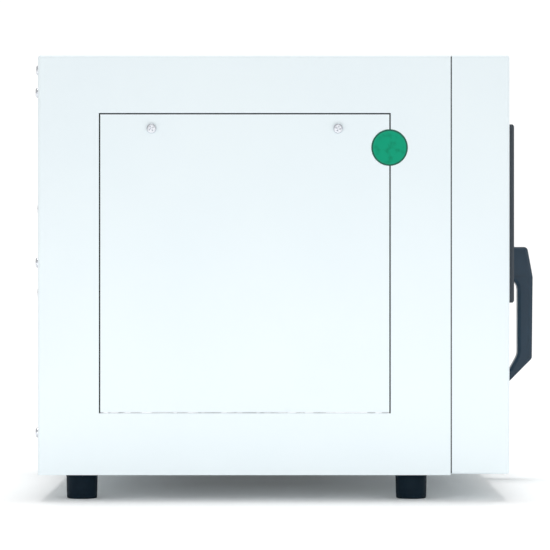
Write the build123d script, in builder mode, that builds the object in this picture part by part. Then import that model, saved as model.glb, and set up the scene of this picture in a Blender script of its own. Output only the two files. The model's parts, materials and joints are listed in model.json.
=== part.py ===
from build123d import *
import os
from math import cos, radians, sin

os.makedirs("parts", exist_ok=True)

# Bench-top drawer-type reflow oven.
# Millimetres.  +Z is up, the front faces -Y and +X is to the right of someone facing the front.
# The origin is on the bench, under the middle of the whole object.

# ---------------------------------------------------------------- driving dimensions

# Folded steel case
case_width = 460.0
case_depth = 400.0
case_height = 356.0
sheet = 1.5
bend_radius = 2.5
front_depth = 49.0
seam = 1.0
front_step = 0.85
rear_flange = 16.0
base_flange = 15.0
vent_width = 4.0
vent_length = 56.0
vent_pitch = 15.0
vent_rows = 10
vent_bank_pitch = 78.0
rear_vent_rise = 20.0
rear_vent_pitch = 9.0
rear_vent_count = 14
rear_vent_length = 18.0
bay_vent_count = 4
lip_depth = 12.0
display_port_width = 70.0
display_port_height = 50.0

# Rubber feet
foot_height = 22.0
foot_radius = 13.9
foot_taper = 0.9
foot_rim = 2.2
foot_inset = 35.0
foot_from_rear = 35.3
foot_from_seam = 32.0
foot_well_radius = 5.2
foot_web = 8.0
foot_screw_length = 14.0

# Service opening in the left wall
access_from_rear = 51.8
access_from_seam = 50.8
access_from_bottom = 52.3
access_from_top = 49.1
access_gap = 1.2
access_ledge = 20.0
access_screw_drop = 13.2
access_screw_inset = 44.6
access_tab_half = 10.0
access_tab_hook = 10.0
access_tab_rise = 8.0
seal_radius = 15.5
seal_thick = 0.25
seal_drop = 29.3
seal_setback = 1.0

# Fasteners
screw_head_radius = 4.2
screw_head_height = 2.4
screw_shank_radius = 2.0
screw_length = 8.0
screw_slack = 0.2
rear_screw_inset = 10.0
rear_screw_drop = 31.5
rear_screw_rise = 35.5
rear_screw_rows = 3
top_screw_drop = 12.0
top_screw_side = 16.0

# Bays and chamber
ease = 1.0
bay_width = 115.0
bay_wall_thick = 1.2
slide_headroom = 2.0
insulation = 25.0
side_air = 2.0
top_air = 11.5
liner = 1.0
motor_space = 38.0
baffle_space = 34.0
gasket_thick = 5.0
gasket_width = 6.0
gasket_inset = 1.5

# Drawer
drawer_low = 25.0
drawer_top_margin = 23.0
drawer_right_margin = 12.5
drawer_gap = 1.5
drawer_travel = 240.0
rest_gap = 0.3
window_width = 240.0
window_from_top = 33.0
window_over_handle = 7.0
glass_thick = 4.0
trim_rim = 5.0
trim_lap = 4.0
trim_thick = 2.0
trim_corner = 6.0
drawer_board_setback = 10.0
tray_level = 150.0
tray_bar = 8.0
tray_thick = 6.0
tray_side_gap = 8.0
tray_end_gap = 10.0
mesh_thick = 1.0
mesh_pitch = 12.0
mesh_wire = 2.0
mesh_inset = 1.0
bracket_inset = 20.0
bracket_width = 24.0
bracket_rise = 24.0
bracket_thick = 2.0

# Bridge handle: heights are above the case's underside, reaches are out from the front
handle_width = 22.0
handle_reach = 43.5
handle_low = 48.0
handle_high = 196.0
handle_leg = 30.0
handle_bar = 13.7
handle_top_reach = 38.5
handle_knee = 167.0
handle_elbow = 91.0
handle_foot = 18.0
handle_heel = 6.0
handle_lean = 0.5
handle_bend_reach = 22.0
handle_bend_height = 81.0
handle_inner_elbow = 96.5
handle_edge = 3.0
handle_screw_radius = 1.6
handle_screw_head = 2.0
handle_screw_bite = 6.0
handle_screw_rise = 11.2
handle_foot_bore = 6.5
handle_leg_bore = 12.0

# Telescopic slides
slide_overlap = 30.0
slide_setback = 1.0
slide_height = 36.0
slide_low = 31.0
slide_thick = 12.7
slide_wall = 1.2
slide_play = 1.6
slide_flange = 10.0
slide_lip = 2.0
slide_bracket_tail = 8.0
runner_room = 2.0
arm_thick = 2.0
arm_length = 205.0
arm_height = 28.0
arm_return = 20.0

# Heaters
heater_radius = 5.0
heater_wall = 1.0
heater_end_gap = 40.5
heater_rows = 4
upper_heater_drop = 18.0
lower_heater_rise = 25.0
cap_wall = 2.0
cap_inside = 8.0
cap_outside = 14.0
reflector_thick = 1.0
reflector_ridge = 8.0
probe_drop = 14.0
probe_radius = 2.0
probe_length = 24.0
probe_collar = 5.0

# Convection fan
impeller_radius = 52.0
impeller_depth = 20.0
impeller_blades = 12
impeller_gap = 5.0
impeller_hub = 12.0
blade_length = 27.0
blade_lean = 25.0
shaft_radius = 4.0
shaft_fit = 0.05
motor_radius = 32.0
motor_rear_gap = 4.5
motor_round = 4.0
motor_cap = 2.0
motor_plate_width = 96.0
motor_plate_height = 70.0

# Fan baffle
intake_hole = 3.2
intake_pitch = 10.0
intake_rings = 4
intake_first_ring = 6
outlet_inset = 32.0
outlet_length = 36.0
outlet_width = 5.0
outlet_pitch = 11.0
outlet_count = 14

# Exhaust
duct_radius = 25.0
duct_wall = 1.2
duct_from_motor = 28.0
duct_from_roof = 13.0
spigot_out = 22.0
spigot_border = 9.0
spigot_margin = 8.0
spigot_corner = 6.0

# Cooling fan of the electrical bay
fan_size = 80.0
fan_depth = 25.0
fan_bore = 38.0
fan_hub = 18.0
fan_blades = 7
fan_hole_pitch = 71.5
fan_rise = 190.0
fan_tip_gap = 1.2
fan_corner = 5.0
fan_spider = 3.0
fan_arm = 4.0
fan_stub_radius = 2.0
fan_stub_length = 12.0
fan_blade_thick = 1.6
fan_blade_chord = 18.0
fan_blade_angle = 52.0
fan_blade_root = 2.5
guard_pitch = 9.0
guard_rings = 4
guard_reach = 50.0
guard_wire = 2.0
guard_pad = 4.8

# Mains inlet and switch
inlet_rise = 42.0
inlet_width = 27.6
inlet_height = 20.6
inlet_wall = 1.6
inlet_depth = 24.0
inlet_socket = 17.0
inlet_hole_pitch = 40.0
inlet_flange_width = 50.0
inlet_flange_height = 25.6
inlet_corner = 4.0
pin_pitch = 7.0
pin_width = 2.0
pin_height = 4.0
switch_rise = 92.0
switch_width = 21.6
switch_height = 29.6
switch_wall = 1.6
switch_well = 9.0
switch_border = 2.0
rocker_tilt = 9.0
rocker_half = 11.5
rocker_crest = 6.5
rocker_valley = 4.5
rocker_side = 1.0
rocker_keel = 3.0
rocker_depth = 3.0
rocker_pin_radius = 1.5
fitting_flange = 2.0
cutout_gap = 0.3

# Control panel
panel_width = 92.0
panel_height = 152.0
panel_from_top = 58.0
panel_from_left = 14.0
panel_proud = 5.0
panel_face = 3.0
panel_chamfer = 1.5
panel_rim = 5.0
screen_width = 68.0
screen_height = 42.0
screen_drop = 34.0
lens_lap = 3.0
lens_thick = 1.4
key_radius = 7.0
key_proud = 1.4
key_travel = 0.7
key_gap = 0.3
key_pitch_x = 38.0
key_pitch_z = 32.0
key_drop = 82.0
key_flange = 1.2
key_lip = 1.0
key_setback = 0.2
board_thick = 1.6
board_depth = 6.0
tact_width = 6.0
tact_height = 3.5
tact_button = 1.7
chip_width = 24.0
chip_height = 3.0
header_width = 60.0
header_height = 8.0
header_depth = 9.0
header_rise = 12.0

# Electrical bay
sink_length = 140.0
sink_plate = 5.0
sink_below = 80.0
sink_above = 40.0
fin_depth = 24.0
fin_thick = 2.0
fin_height = 52.0
fin_pitch = 10.0
fin_count = 13
fin_rise = 12.0
relay_spacing = 38.0
relay_width = 44.0
relay_depth = 24.0
relay_low = 78.0
relay_high = 20.0
relay_cap = 4.0
relay_cap_inset = 2.0
relay_cap_low = 66.0
relay_cap_high = 32.0
supply_inset = 8.0
supply_width = 82.0
supply_height = 40.0
supply_chamfer = 2.0
supply_y = (-60.0, 50.0)
supply_strip_inset = 4.0
supply_strip_depth = 12.0
supply_strip_height = 18.0
terminal_inset = 10.0
terminal_width = 64.0
terminal_y = (96.0, 118.0)
terminal_height = 10.0
terminal_margin = 2.0
terminal_cell = 8.0
terminal_cell_pitch = 10.4
terminal_cell_rise = 7.0
terminal_cell_inset = 3.0
terminal_cells = 6

# ---------------------------------------------------------------- places worked out from them

y_front = (handle_reach - spigot_out - case_depth) / 2
y_rear = y_front + case_depth
y_cover = y_front + front_depth + seam
y_back_in = y_rear - 2 * sheet
z_base = foot_height
z_top = z_base + case_height
x_left = -case_width / 2
x_right = case_width / 2
inner_x = (x_left + sheet, x_right - sheet)
inner_y = (y_cover + sheet, y_back_in)
inner_z = (z_base + sheet, z_top - sheet)

x_bay = x_left + bay_width
hot_x = (x_bay + bay_wall_thick, x_right - sheet)
x_mid = sum(hot_x) / 2
x_bay_mid = (inner_x[0] + x_bay) / 2

slide_z = (z_base + slide_low, z_base + slide_low + slide_height)
z_slide_mid = sum(slide_z) / 2
board_x = (hot_x[0] + side_air, hot_x[1] - side_air)
board_z = (slide_z[1] + slide_headroom, inner_z[1] - top_air)
y_board_rear = y_back_in - motor_space
y_rear_wall = y_board_rear - insulation - liner
room_x = (board_x[0] + insulation + liner, board_x[1] - insulation - liner)
room_y = (y_cover, y_rear_wall)
room_z = (board_z[0] + insulation + liner, board_z[1] - insulation - liner)
z_mid = sum(room_z) / 2
y_baffle = y_rear_wall - baffle_space

drawer_half = x_right - drawer_right_margin - x_mid
drawer_x = (x_mid - drawer_half, x_mid + drawer_half)
drawer_z = (z_base + drawer_low, z_top - drawer_top_margin)
drawer_depth = front_depth + seam - gasket_thick - rest_gap
y_drawer_rear = y_front + drawer_depth
window_x = (x_mid - window_width / 2, x_mid + window_width / 2)
window_z = (z_base + handle_high + window_over_handle, drawer_z[1] - window_from_top)
z_tray = z_base + tray_level

x_slide = hot_x[0] + slide_flange + sheet
slide_y = (inner_y[0] + slide_setback, inner_y[0] + slide_setback + drawer_travel + slide_overlap)
middle_line = Plane.YZ.offset(x_mid)

access_y = (y_cover + access_from_seam, y_rear - access_from_rear)
access_z = (z_base + access_from_bottom, z_top - access_from_top)
panel_x = (x_left + panel_from_left, x_left + panel_from_left + panel_width)
panel_z = (z_top - panel_from_top - panel_height, z_top - panel_from_top)
x_panel = sum(panel_x) / 2
z_screen = panel_z[1] - screen_drop
y_panel = y_front - panel_proud

cap_radius = heater_radius + cap_wall
heater_mid = (y_cover + y_baffle) / 2
heater_pitch = (y_baffle - y_cover - 2 * heater_end_gap) / (heater_rows - 1)
heater_rank = [y_cover + heater_end_gap + heater_pitch * i for i in range(heater_rows)]
upper_heaters = [(y, room_z[1] - upper_heater_drop) for y in heater_rank]
lower_heaters = [(y, room_z[0] + lower_heater_rise) for y in heater_rank]
heater_lines = upper_heaters + lower_heaters

foot_spots = [
    (x, y)
    for x in (x_left + foot_inset, x_right - foot_inset)
    for y in (y_cover + foot_from_seam, y_rear - foot_from_rear)
]
access_screw_spots = [
    (access_y[0] + access_screw_inset, access_z[1] - access_screw_drop),
    (access_y[1] - access_screw_inset, access_z[1] - access_screw_drop),
]
rear_screw_pitch = (case_height - rear_screw_drop - rear_screw_rise) / (rear_screw_rows - 1)
rear_screw_spots = [
    (x, z_top - rear_screw_drop - rear_screw_pitch * i)
    for x in (x_left + rear_screw_inset, x_right - rear_screw_inset)
    for i in range(rear_screw_rows)
]
top_screw_x = (x_left + top_screw_side, 0, x_right - top_screw_side)
rear_screw_spots += [(x, z_top - top_screw_drop) for x in top_screw_x]

x_duct = x_mid + motor_radius + duct_from_motor + duct_radius
z_duct = room_z[1] - duct_from_roof - duct_radius
spigot_flange = 2 * (duct_radius + spigot_border)
z_fan = z_base + fan_rise
z_inlet = z_base + inlet_rise
z_switch = z_base + switch_rise
spigot_pitch = spigot_flange - 2 * spigot_margin
fan_screw_spots = [
    (x_bay_mid + i * fan_hole_pitch / 2, z_fan + k * fan_hole_pitch / 2) for i in (-1, 1) for k in (-1, 1)
]
spigot_screw_spots = [
    (x_duct + i * spigot_pitch / 2, z_duct + k * spigot_pitch / 2) for i in (-1, 1) for k in (-1, 1)
]
inlet_screw_spots = [(x_bay_mid + i * inlet_hole_pitch / 2, z_inlet) for i in (-1, 1)]
fitting_spots = fan_screw_spots + spigot_screw_spots + inlet_screw_spots
screw_hole = screw_shank_radius + screw_slack


# ---------------------------------------------------------------- helpers


def block(x, y, z, mode=Mode.ADD):
    """A box between three (low, high) spans."""
    with Locations((sum(x) / 2, sum(y) / 2, sum(z) / 2)):
        Box(x[1] - x[0], y[1] - y[0], z[1] - z[0], mode=mode)


def patch(u, v, mode=Mode.ADD):
    """A sketch rectangle between two (low, high) spans."""
    with Locations((sum(u) / 2, sum(v) / 2)):
        Rectangle(u[1] - u[0], v[1] - v[0], mode=mode)


def grown(span, by):
    """A span made longer by the same amount at both ends."""
    return (span[0] - by, span[1] + by)


def front_plane(y):
    """Sketch plane across the oven at depth y: its x is +X, its y is +Z and it faces the front."""
    return Plane.XZ.offset(-y)


def rear_plane(x, y, z):
    """Plane on the back of the oven: its x is -X, its y is +Z and it faces backwards."""
    return Plane(origin=(x, y, z), x_dir=(-1, 0, 0), z_dir=(0, 1, 0))


def keypad_plane(x, y, z):
    """Plane on the front of the oven: its x is +X, its y is +Z and it faces forwards."""
    return Plane(origin=(x, y, z), x_dir=(1, 0, 0), z_dir=(0, -1, 0))


def pan_screw(head_radius, head_height, shank_radius, length):
    """A cross-recess pan-head screw with its head above the XY plane."""
    with BuildPart() as screw:
        Cylinder(head_radius, head_height, align=(Align.CENTER, Align.CENTER, Align.MIN))
        fillet(screw.edges().group_by(Axis.Z)[-1], head_height * 0.6)
        Cylinder(shank_radius, length, align=(Align.CENTER, Align.CENTER, Align.MAX))
        with Locations((0, 0, head_height)):
            Box(head_radius, head_radius / 4, head_height, mode=Mode.SUBTRACT)
            Box(head_radius / 4, head_radius, head_height, mode=Mode.SUBTRACT)
    return screw.part


# ---------------------------------------------------------------- case

with BuildPart() as base_plate:
    block(inner_x, (y_cover, y_rear - sheet), (z_base, inner_z[0]))
    for x in ((inner_x[0], inner_x[0] + sheet), (inner_x[1] - sheet, inner_x[1])):
        block(x, inner_y, (inner_z[0], z_base + base_flange))
    y_vents = sum(inner_y) / 2
    with BuildSketch(Plane.XY.offset(z_base)):
        with Locations((x_bay_mid, y_vents)):
            with GridLocations(0, vent_pitch, 1, vent_rows):
                SlotOverall(vent_length, vent_width)
        with Locations((x_mid, y_vents)):
            with GridLocations(vent_bank_pitch, vent_pitch, 3, vent_rows):
                SlotOverall(vent_length, vent_width)
        with Locations(*foot_spots):
            Circle(screw_hole)
    extrude(amount=sheet, mode=Mode.SUBTRACT)
base_plate.part.label = "base_plate"
export_step(base_plate.part, "parts/base_plate.step")

with BuildPart() as case_cover:
    block((x_left, x_right), (y_cover, y_rear), (z_base, z_top))
    long_edges = case_cover.edges().filter_by(Axis.Y).group_by(Axis.Z)[-1]
    rear_edges = case_cover.faces().sort_by(Axis.Y)[-1].edges()
    fillet(long_edges + [e for e in rear_edges if e.center().Z > z_base + 1], bend_radius)
    block(inner_x, (y_cover, y_rear - sheet), (z_base, inner_z[1]), mode=Mode.SUBTRACT)
    block(grown((x_left, x_right), -rear_flange), (y_rear - sheet, y_rear), (z_base, z_top - rear_flange),
          mode=Mode.SUBTRACT)
    with BuildSketch(Plane.YZ.offset(x_left)):
        patch(access_y, access_z)
    extrude(amount=sheet, mode=Mode.SUBTRACT)
    with BuildSketch(rear_plane(0, y_rear, 0)):
        with Locations(*[(-x, z) for x, z in rear_screw_spots]):
            Circle(screw_hole)
    extrude(amount=-sheet, mode=Mode.SUBTRACT)
case_cover.part.label = "case_cover"
export_step(case_cover.part, "parts/case_cover.step")

# The ledge frame is spot-welded inside the wall and carries the service cover flush with it.
with BuildPart() as access_frame:
    with BuildSketch(Plane.YZ.offset(inner_x[0])):
        patch(grown(access_y, access_ledge / 2), grown(access_z, access_ledge / 2))
        patch(grown(access_y, -access_ledge), grown(access_z, -access_ledge), mode=Mode.SUBTRACT)
        with Locations(*access_screw_spots):
            Circle(screw_hole, mode=Mode.SUBTRACT)
    extrude(amount=sheet)
access_frame.part.label = "access_frame"
export_step(access_frame.part, "parts/access_frame.step")

with BuildPart() as access_cover:
    with BuildSketch(Plane.YZ.offset(x_left)):
        patch(grown(access_y, -access_gap), grown(access_z, -access_gap))
        with Locations(*access_screw_spots):
            Circle(screw_hole, mode=Mode.SUBTRACT)
    extrude(amount=sheet)
    tab_root = (inner_x[0], inner_x[0] + 2 * sheet)
    tab_tip = (inner_x[0] + sheet + screw_slack, tab_root[1] + screw_slack)
    tab_foot = access_z[0] + access_ledge
    for middle in (access_y[0] + access_screw_inset, access_y[1] - access_screw_inset):
        tab_y = grown((middle, middle), access_tab_half)
        block(tab_root, tab_y, (tab_foot + access_gap, tab_foot + access_tab_rise))
        block(tab_tip, tab_y, (tab_foot - access_tab_hook, tab_foot + access_tab_rise))
access_cover.part.label = "access_cover"
export_step(access_cover.part, "parts/access_cover.step")

seal_plane = Plane(origin=(x_left, access_y[0] + seal_setback, access_z[1] - seal_drop), z_dir=(-1, 0, 0))
with BuildPart(seal_plane) as qc_seal:
    Cylinder(seal_radius, seal_thick, align=(Align.CENTER, Align.CENTER, Align.MIN))
qc_seal.part.label = "qc_seal"
export_step(qc_seal.part, "parts/qc_seal.step")

with BuildPart() as rear_panel:
    with BuildSketch(rear_plane(0, y_rear - sheet, 0)):
        patch(inner_x, inner_z)
        with Locations(*[(-x, z) for x, z in rear_screw_spots + fitting_spots]):
            Circle(screw_hole, mode=Mode.SUBTRACT)
        with Locations((-x_bay_mid, z_fan)):
            Circle(fan_bore, mode=Mode.SUBTRACT)
        with Locations((-x_duct, z_duct)):
            Circle(duct_radius, mode=Mode.SUBTRACT)
        with Locations((-x_bay_mid, z_inlet)):
            Rectangle(inlet_width + 2 * cutout_gap, inlet_height + 2 * cutout_gap, mode=Mode.SUBTRACT)
        with Locations((-x_bay_mid, z_switch)):
            Rectangle(switch_width + 2 * cutout_gap, switch_height + 2 * cutout_gap, mode=Mode.SUBTRACT)
        for z in (board_z[0] + rear_vent_rise, z_mid - motor_radius - rear_vent_rise):
            with Locations((-x_mid, z)):
                with GridLocations(rear_vent_pitch, 0, rear_vent_count, 1):
                    SlotOverall(rear_vent_length, vent_width, rotation=90, mode=Mode.SUBTRACT)
    extrude(amount=-sheet)
rear_panel.part.label = "rear_panel"
export_step(rear_panel.part, "parts/rear_panel.step")

case_screw = pan_screw(screw_head_radius, screw_head_height, screw_shank_radius, screw_length)
y_fitting = y_rear - sheet + fitting_flange
with BuildPart() as case_screws:
    with Locations(*[Plane(origin=(x_left, y, z), z_dir=(-1, 0, 0)) for y, z in access_screw_spots]):
        add(case_screw)
    with Locations(*[rear_plane(x, y_rear, z) for x, z in rear_screw_spots]):
        add(case_screw)
    with Locations(*[rear_plane(x, y_fitting, z) for x, z in fitting_spots]):
        add(case_screw)
case_screws.part.label = "case_screws"
export_step(case_screws.part, "parts/case_screws.step")

with BuildPart() as rubber_feet:
    with Locations(*[(x, y, z_base - foot_rim) for x, y in foot_spots]):
        Cylinder(foot_radius, foot_rim, align=(Align.CENTER, Align.CENTER, Align.MIN))
    with Locations(*[(x, y, 0) for x, y in foot_spots]):
        Cone(foot_radius - foot_taper, foot_radius - foot_taper / 3, foot_height - foot_rim,
             align=(Align.CENTER, Align.CENTER, Align.MIN))
    fillet(rubber_feet.edges().group_by(Axis.Z)[0], foot_taper)
    with Locations(*[(x, y, 0) for x, y in foot_spots]):
        Cylinder(foot_well_radius, foot_height - foot_web, mode=Mode.SUBTRACT,
                 align=(Align.CENTER, Align.CENTER, Align.MIN))
        Cylinder(screw_hole, foot_height, mode=Mode.SUBTRACT, align=(Align.CENTER, Align.CENTER, Align.MIN))
rubber_feet.part.label = "rubber_feet"
export_step(rubber_feet.part, "parts/rubber_feet.step")

foot_screw = pan_screw(screw_head_radius, screw_head_height, screw_shank_radius, foot_screw_length)
with BuildPart() as foot_screws:
    with Locations(*[Plane(origin=(x, y, foot_height - foot_web), z_dir=(0, 0, -1)) for x, y in foot_spots]):
        add(foot_screw)
foot_screws.part.label = "foot_screws"
export_step(foot_screws.part, "parts/foot_screws.step")

with BuildPart() as front_fascia:
    block((x_left, x_right), (y_front, y_front + front_depth), (z_base + front_step, z_top))
    front_edges = front_fascia.faces().sort_by(Axis.Y)[0].edges()
    fillet(front_fascia.edges().filter_by(Axis.Y) + front_edges, bend_radius)
    block(inner_x, (y_front + sheet, y_front + front_depth), (inner_z[0] + front_step, inner_z[1]),
          mode=Mode.SUBTRACT)
    block(grown(drawer_x, drawer_gap), (y_front, y_front + sheet), grown(drawer_z, drawer_gap),
          mode=Mode.SUBTRACT)
    block(grown(panel_x, -panel_rim), (y_front, y_front + sheet), grown(panel_z, -panel_rim),
          mode=Mode.SUBTRACT)
front_fascia.part.label = "front_fascia"
export_step(front_fascia.part, "parts/front_fascia.step")

# The front frame closes the hot compartment round the mouth; its lip locates the fascia.
pass_x = (x_slide + slide_wall, x_slide + slide_thick + arm_thick + runner_room)
pass_z = grown(slide_z, runner_room)
with BuildPart() as front_frame:
    block(inner_x, (y_cover, inner_y[0]), inner_z)
    block(inner_x, (y_cover - lip_depth, y_cover), (inner_z[0] + front_step, inner_z[1]))
    block(grown(inner_x, -sheet), (y_cover - lip_depth, y_cover),
          (inner_z[0] + front_step + sheet, inner_z[1] - sheet), mode=Mode.SUBTRACT)
    block(grown(room_x, liner), (y_cover, inner_y[0]), grown(room_z, liner), mode=Mode.SUBTRACT)
    for x in (pass_x, (2 * x_mid - pass_x[1], 2 * x_mid - pass_x[0])):
        block(x, (y_cover, inner_y[0]), pass_z, mode=Mode.SUBTRACT)
    block(grown((x_bay_mid, x_bay_mid), display_port_width / 2), (y_cover, inner_y[0]),
          grown((z_screen, z_screen), display_port_height / 2), mode=Mode.SUBTRACT)
front_frame.part.label = "front_frame"
export_step(front_frame.part, "parts/front_frame.step")

with BuildPart() as bay_wall:
    block((x_bay, hot_x[0]), inner_y, inner_z)
    block((x_bay - base_flange, x_bay), inner_y, (inner_z[0], inner_z[0] + bay_wall_thick))
    with BuildSketch(Plane.YZ.offset(x_bay)):
        with Locations((inner_y[1] - rear_vent_length, z_slide_mid)):
            with GridLocations(0, rear_vent_pitch, 1, bay_vent_count):
                SlotOverall(rear_vent_length, vent_width)
    extrude(amount=bay_wall_thick, mode=Mode.SUBTRACT)
bay_wall.part.label = "bay_wall"
export_step(bay_wall.part, "parts/bay_wall.step")

# ---------------------------------------------------------------- heated chamber

with BuildPart() as chamber_liner:
    block(grown(room_x, liner), (y_cover, y_rear_wall + liner), grown(room_z, liner))
    block(room_x, room_y, room_z, mode=Mode.SUBTRACT)
    with BuildSketch(Plane.YZ.offset(room_x[0] - liner)):
        with Locations(*heater_lines):
            Circle(cap_radius + cutout_gap)
    extrude(amount=room_x[1] - room_x[0] + 2 * liner, mode=Mode.SUBTRACT)
    with BuildSketch(rear_plane(0, y_rear_wall + liner, 0)):
        with Locations((-x_mid, z_mid)):
            Circle(2 * shaft_radius)
        with Locations((-x_duct, z_duct)):
            Circle(duct_radius + cutout_gap)
    extrude(amount=-liner, mode=Mode.SUBTRACT)
chamber_liner.part.label = "chamber_liner"
export_step(chamber_liner.part, "parts/chamber_liner.step")

# Five ceramic-fibre boards round the liner: floor, roof, two cheeks and the back.
y_wall_rear = y_rear_wall + liner
with BuildPart() as insulation_boards:
    block(board_x, (inner_y[0], y_wall_rear), (board_z[0], room_z[0] - liner))
    block(board_x, (inner_y[0], y_wall_rear), (room_z[1] + liner, board_z[1]))
    for x in ((board_x[0], room_x[0] - liner), (room_x[1] + liner, board_x[1])):
        block(x, (inner_y[0], y_wall_rear), grown(room_z, liner - rest_gap))
    block(board_x, (y_wall_rear + rest_gap, y_board_rear), board_z)
    with BuildSketch(Plane.YZ.offset(room_x[0] - liner - cap_outside)):
        with Locations(*heater_lines):
            Circle(cap_radius + cutout_gap)
    extrude(amount=room_x[1] - room_x[0] + 2 * (liner + cap_outside), mode=Mode.SUBTRACT)
    with BuildSketch(rear_plane(0, y_board_rear, 0)):
        with Locations((-x_mid, z_mid)):
            Circle(2 * shaft_radius)
        with Locations((-x_duct, z_duct)):
            Circle(duct_radius + cutout_gap)
    extrude(amount=-insulation, mode=Mode.SUBTRACT)
insulation_boards.part.label = "insulation_boards"
export_step(insulation_boards.part, "parts/insulation_boards.step")

with BuildPart() as heater_tubes:
    with BuildSketch(Plane.YZ.offset(room_x[0] + ease)):
        with Locations(*heater_lines):
            Circle(heater_radius)
            Circle(heater_radius - heater_wall, mode=Mode.SUBTRACT)
    extrude(amount=room_x[1] - room_x[0] - 2 * ease)
heater_tubes.part.label = "heater_tubes"
export_step(heater_tubes.part, "parts/heater_tubes.step")

with BuildPart() as heater_end_caps:
    with BuildSketch(Plane.YZ.offset(room_x[0] - cap_outside)):
        with Locations(*heater_lines):
            Circle(cap_radius)
    extrude(amount=cap_outside + cap_inside)
    with BuildSketch(Plane.YZ.offset(room_x[0] + ease)):
        with Locations(*heater_lines):
            Circle(heater_radius + shaft_fit)
    extrude(amount=cap_inside, mode=Mode.SUBTRACT)
    mirror(about=middle_line)
heater_end_caps.part.label = "heater_end_caps"
export_step(heater_end_caps.part, "parts/heater_end_caps.step")


def ridge_line(lines, z_back, z_crest):
    """Closed outline of a sheet with a ridge between each two heaters, back at z_back."""
    step = 1 if z_crest > z_back else -1
    corners = [(room_y[0] + heater_pitch / 4, z_back)]
    corners.append((corners[0][0], z_back + step * reflector_thick))
    for (y, _), (y_next, _) in zip(lines, lines[1:]):
        middle = (y + y_next) / 2
        corners.append((middle - reflector_ridge, z_back + step * reflector_thick))
        corners.append((middle, z_crest))
        corners.append((middle + reflector_ridge, z_back + step * reflector_thick))
    corners.append((y_baffle - heater_pitch / 4, z_back + step * reflector_thick))
    corners.append((y_baffle - heater_pitch / 4, z_back))
    return corners


with BuildPart() as reflectors:
    reflector_start = Plane.YZ.offset(room_x[0] + cap_inside + rest_gap)
    with BuildSketch(reflector_start):
        with BuildLine():
            Polyline(*ridge_line(upper_heaters, room_z[1], room_z[1] - reflector_ridge), close=True)
        make_face()
        with BuildLine():
            Polyline(*ridge_line(lower_heaters, room_z[0], room_z[0] + reflector_ridge), close=True)
        make_face()
    extrude(amount=room_x[1] - room_x[0] - 2 * (cap_inside + rest_gap))
reflectors.part.label = "reflectors"
export_step(reflectors.part, "parts/reflectors.step")

with BuildPart(Plane(origin=(room_x[0], heater_mid, z_tray - probe_drop), z_dir=(1, 0, 0))) as thermocouple:
    Cylinder(probe_radius, probe_length, align=(Align.CENTER, Align.CENTER, Align.MIN))
    Cylinder(probe_collar, probe_collar, align=(Align.CENTER, Align.CENTER, Align.MIN))
thermocouple.part.label = "thermocouple"
export_step(thermocouple.part, "parts/thermocouple.step")

# Baffle: a shallow box in front of the convection fan, with an intake and two outlet slot banks.
with BuildPart() as fan_baffle:
    block(grown(room_x, -ease), (y_baffle, y_rear_wall), grown(room_z, -ease))
    block(grown(room_x, -ease - liner), (y_baffle + liner, y_rear_wall),
          grown(room_z, -ease - liner), mode=Mode.SUBTRACT)
    with BuildSketch(front_plane(y_baffle)):
        with Locations((x_mid, z_mid)):
            Circle(intake_hole)
            for ring in range(1, intake_rings + 1):
                with PolarLocations(intake_pitch * ring, intake_first_ring * ring):
                    Circle(intake_hole)
        for x in grown(room_x, -outlet_inset):
            with Locations((x, z_mid)):
                with GridLocations(0, outlet_pitch, 1, outlet_count):
                    SlotOverall(outlet_length, outlet_width)
    extrude(amount=-liner, mode=Mode.SUBTRACT)
fan_baffle.part.label = "fan_baffle"
export_step(fan_baffle.part, "parts/fan_baffle.step")

y_impeller = y_baffle + liner + impeller_gap
impeller_plane = Plane(origin=(x_mid, y_impeller, z_mid), x_dir=(1, 0, 0), z_dir=(0, 1, 0))
with BuildPart(impeller_plane) as impeller:
    with Locations((0, 0, impeller_depth)):
        Cylinder(impeller_radius, liner, align=(Align.CENTER, Align.CENTER, Align.MIN))
    Cylinder(impeller_hub, impeller_depth, align=(Align.CENTER, Align.CENTER, Align.MIN))
    with PolarLocations(impeller_radius - blade_length / 2 - ease, impeller_blades):
        Box(blade_length, liner, impeller_depth, rotation=(0, 0, blade_lean),
            align=(Align.CENTER, Align.CENTER, Align.MIN))
    Cylinder(shaft_radius + shaft_fit, 3 * impeller_depth, mode=Mode.SUBTRACT)
impeller.part.label = "impeller"
export_step(impeller.part, "parts/impeller.step")

y_motor = y_board_rear + sheet
motor_length = motor_space - sheet - motor_rear_gap
with BuildPart(impeller_plane) as fan_shaft:
    Cylinder(shaft_radius, y_motor + motor_length / 2 - y_impeller,
             align=(Align.CENTER, Align.CENTER, Align.MIN))
fan_shaft.part.label = "fan_shaft"
export_step(fan_shaft.part, "parts/fan_shaft.step")

with BuildPart(Plane(origin=(x_mid, y_board_rear, z_mid), x_dir=(1, 0, 0), z_dir=(0, 1, 0))) as motor_bracket:
    Box(motor_plate_width, motor_plate_height, sheet, align=(Align.CENTER, Align.CENTER, Align.MIN))
    Cylinder(2 * shaft_radius, 4 * sheet, mode=Mode.SUBTRACT)
motor_bracket.part.label = "motor_bracket"
export_step(motor_bracket.part, "parts/motor_bracket.step")

with BuildPart(Plane(origin=(x_mid, y_motor, z_mid), x_dir=(1, 0, 0), z_dir=(0, 1, 0))) as fan_motor:
    Cylinder(motor_radius, motor_length, align=(Align.CENTER, Align.CENTER, Align.MIN))
    fillet(fan_motor.edges().group_by(Axis.Y)[-1], motor_round)
    Cylinder(shaft_radius + shaft_fit, motor_length + ease, mode=Mode.SUBTRACT)
    with Locations((0, 0, motor_length)):
        Cylinder(motor_radius / 3, motor_cap, align=(Align.CENTER, Align.CENTER, Align.MIN))
fan_motor.part.label = "fan_motor"
export_step(fan_motor.part, "parts/fan_motor.step")

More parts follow.
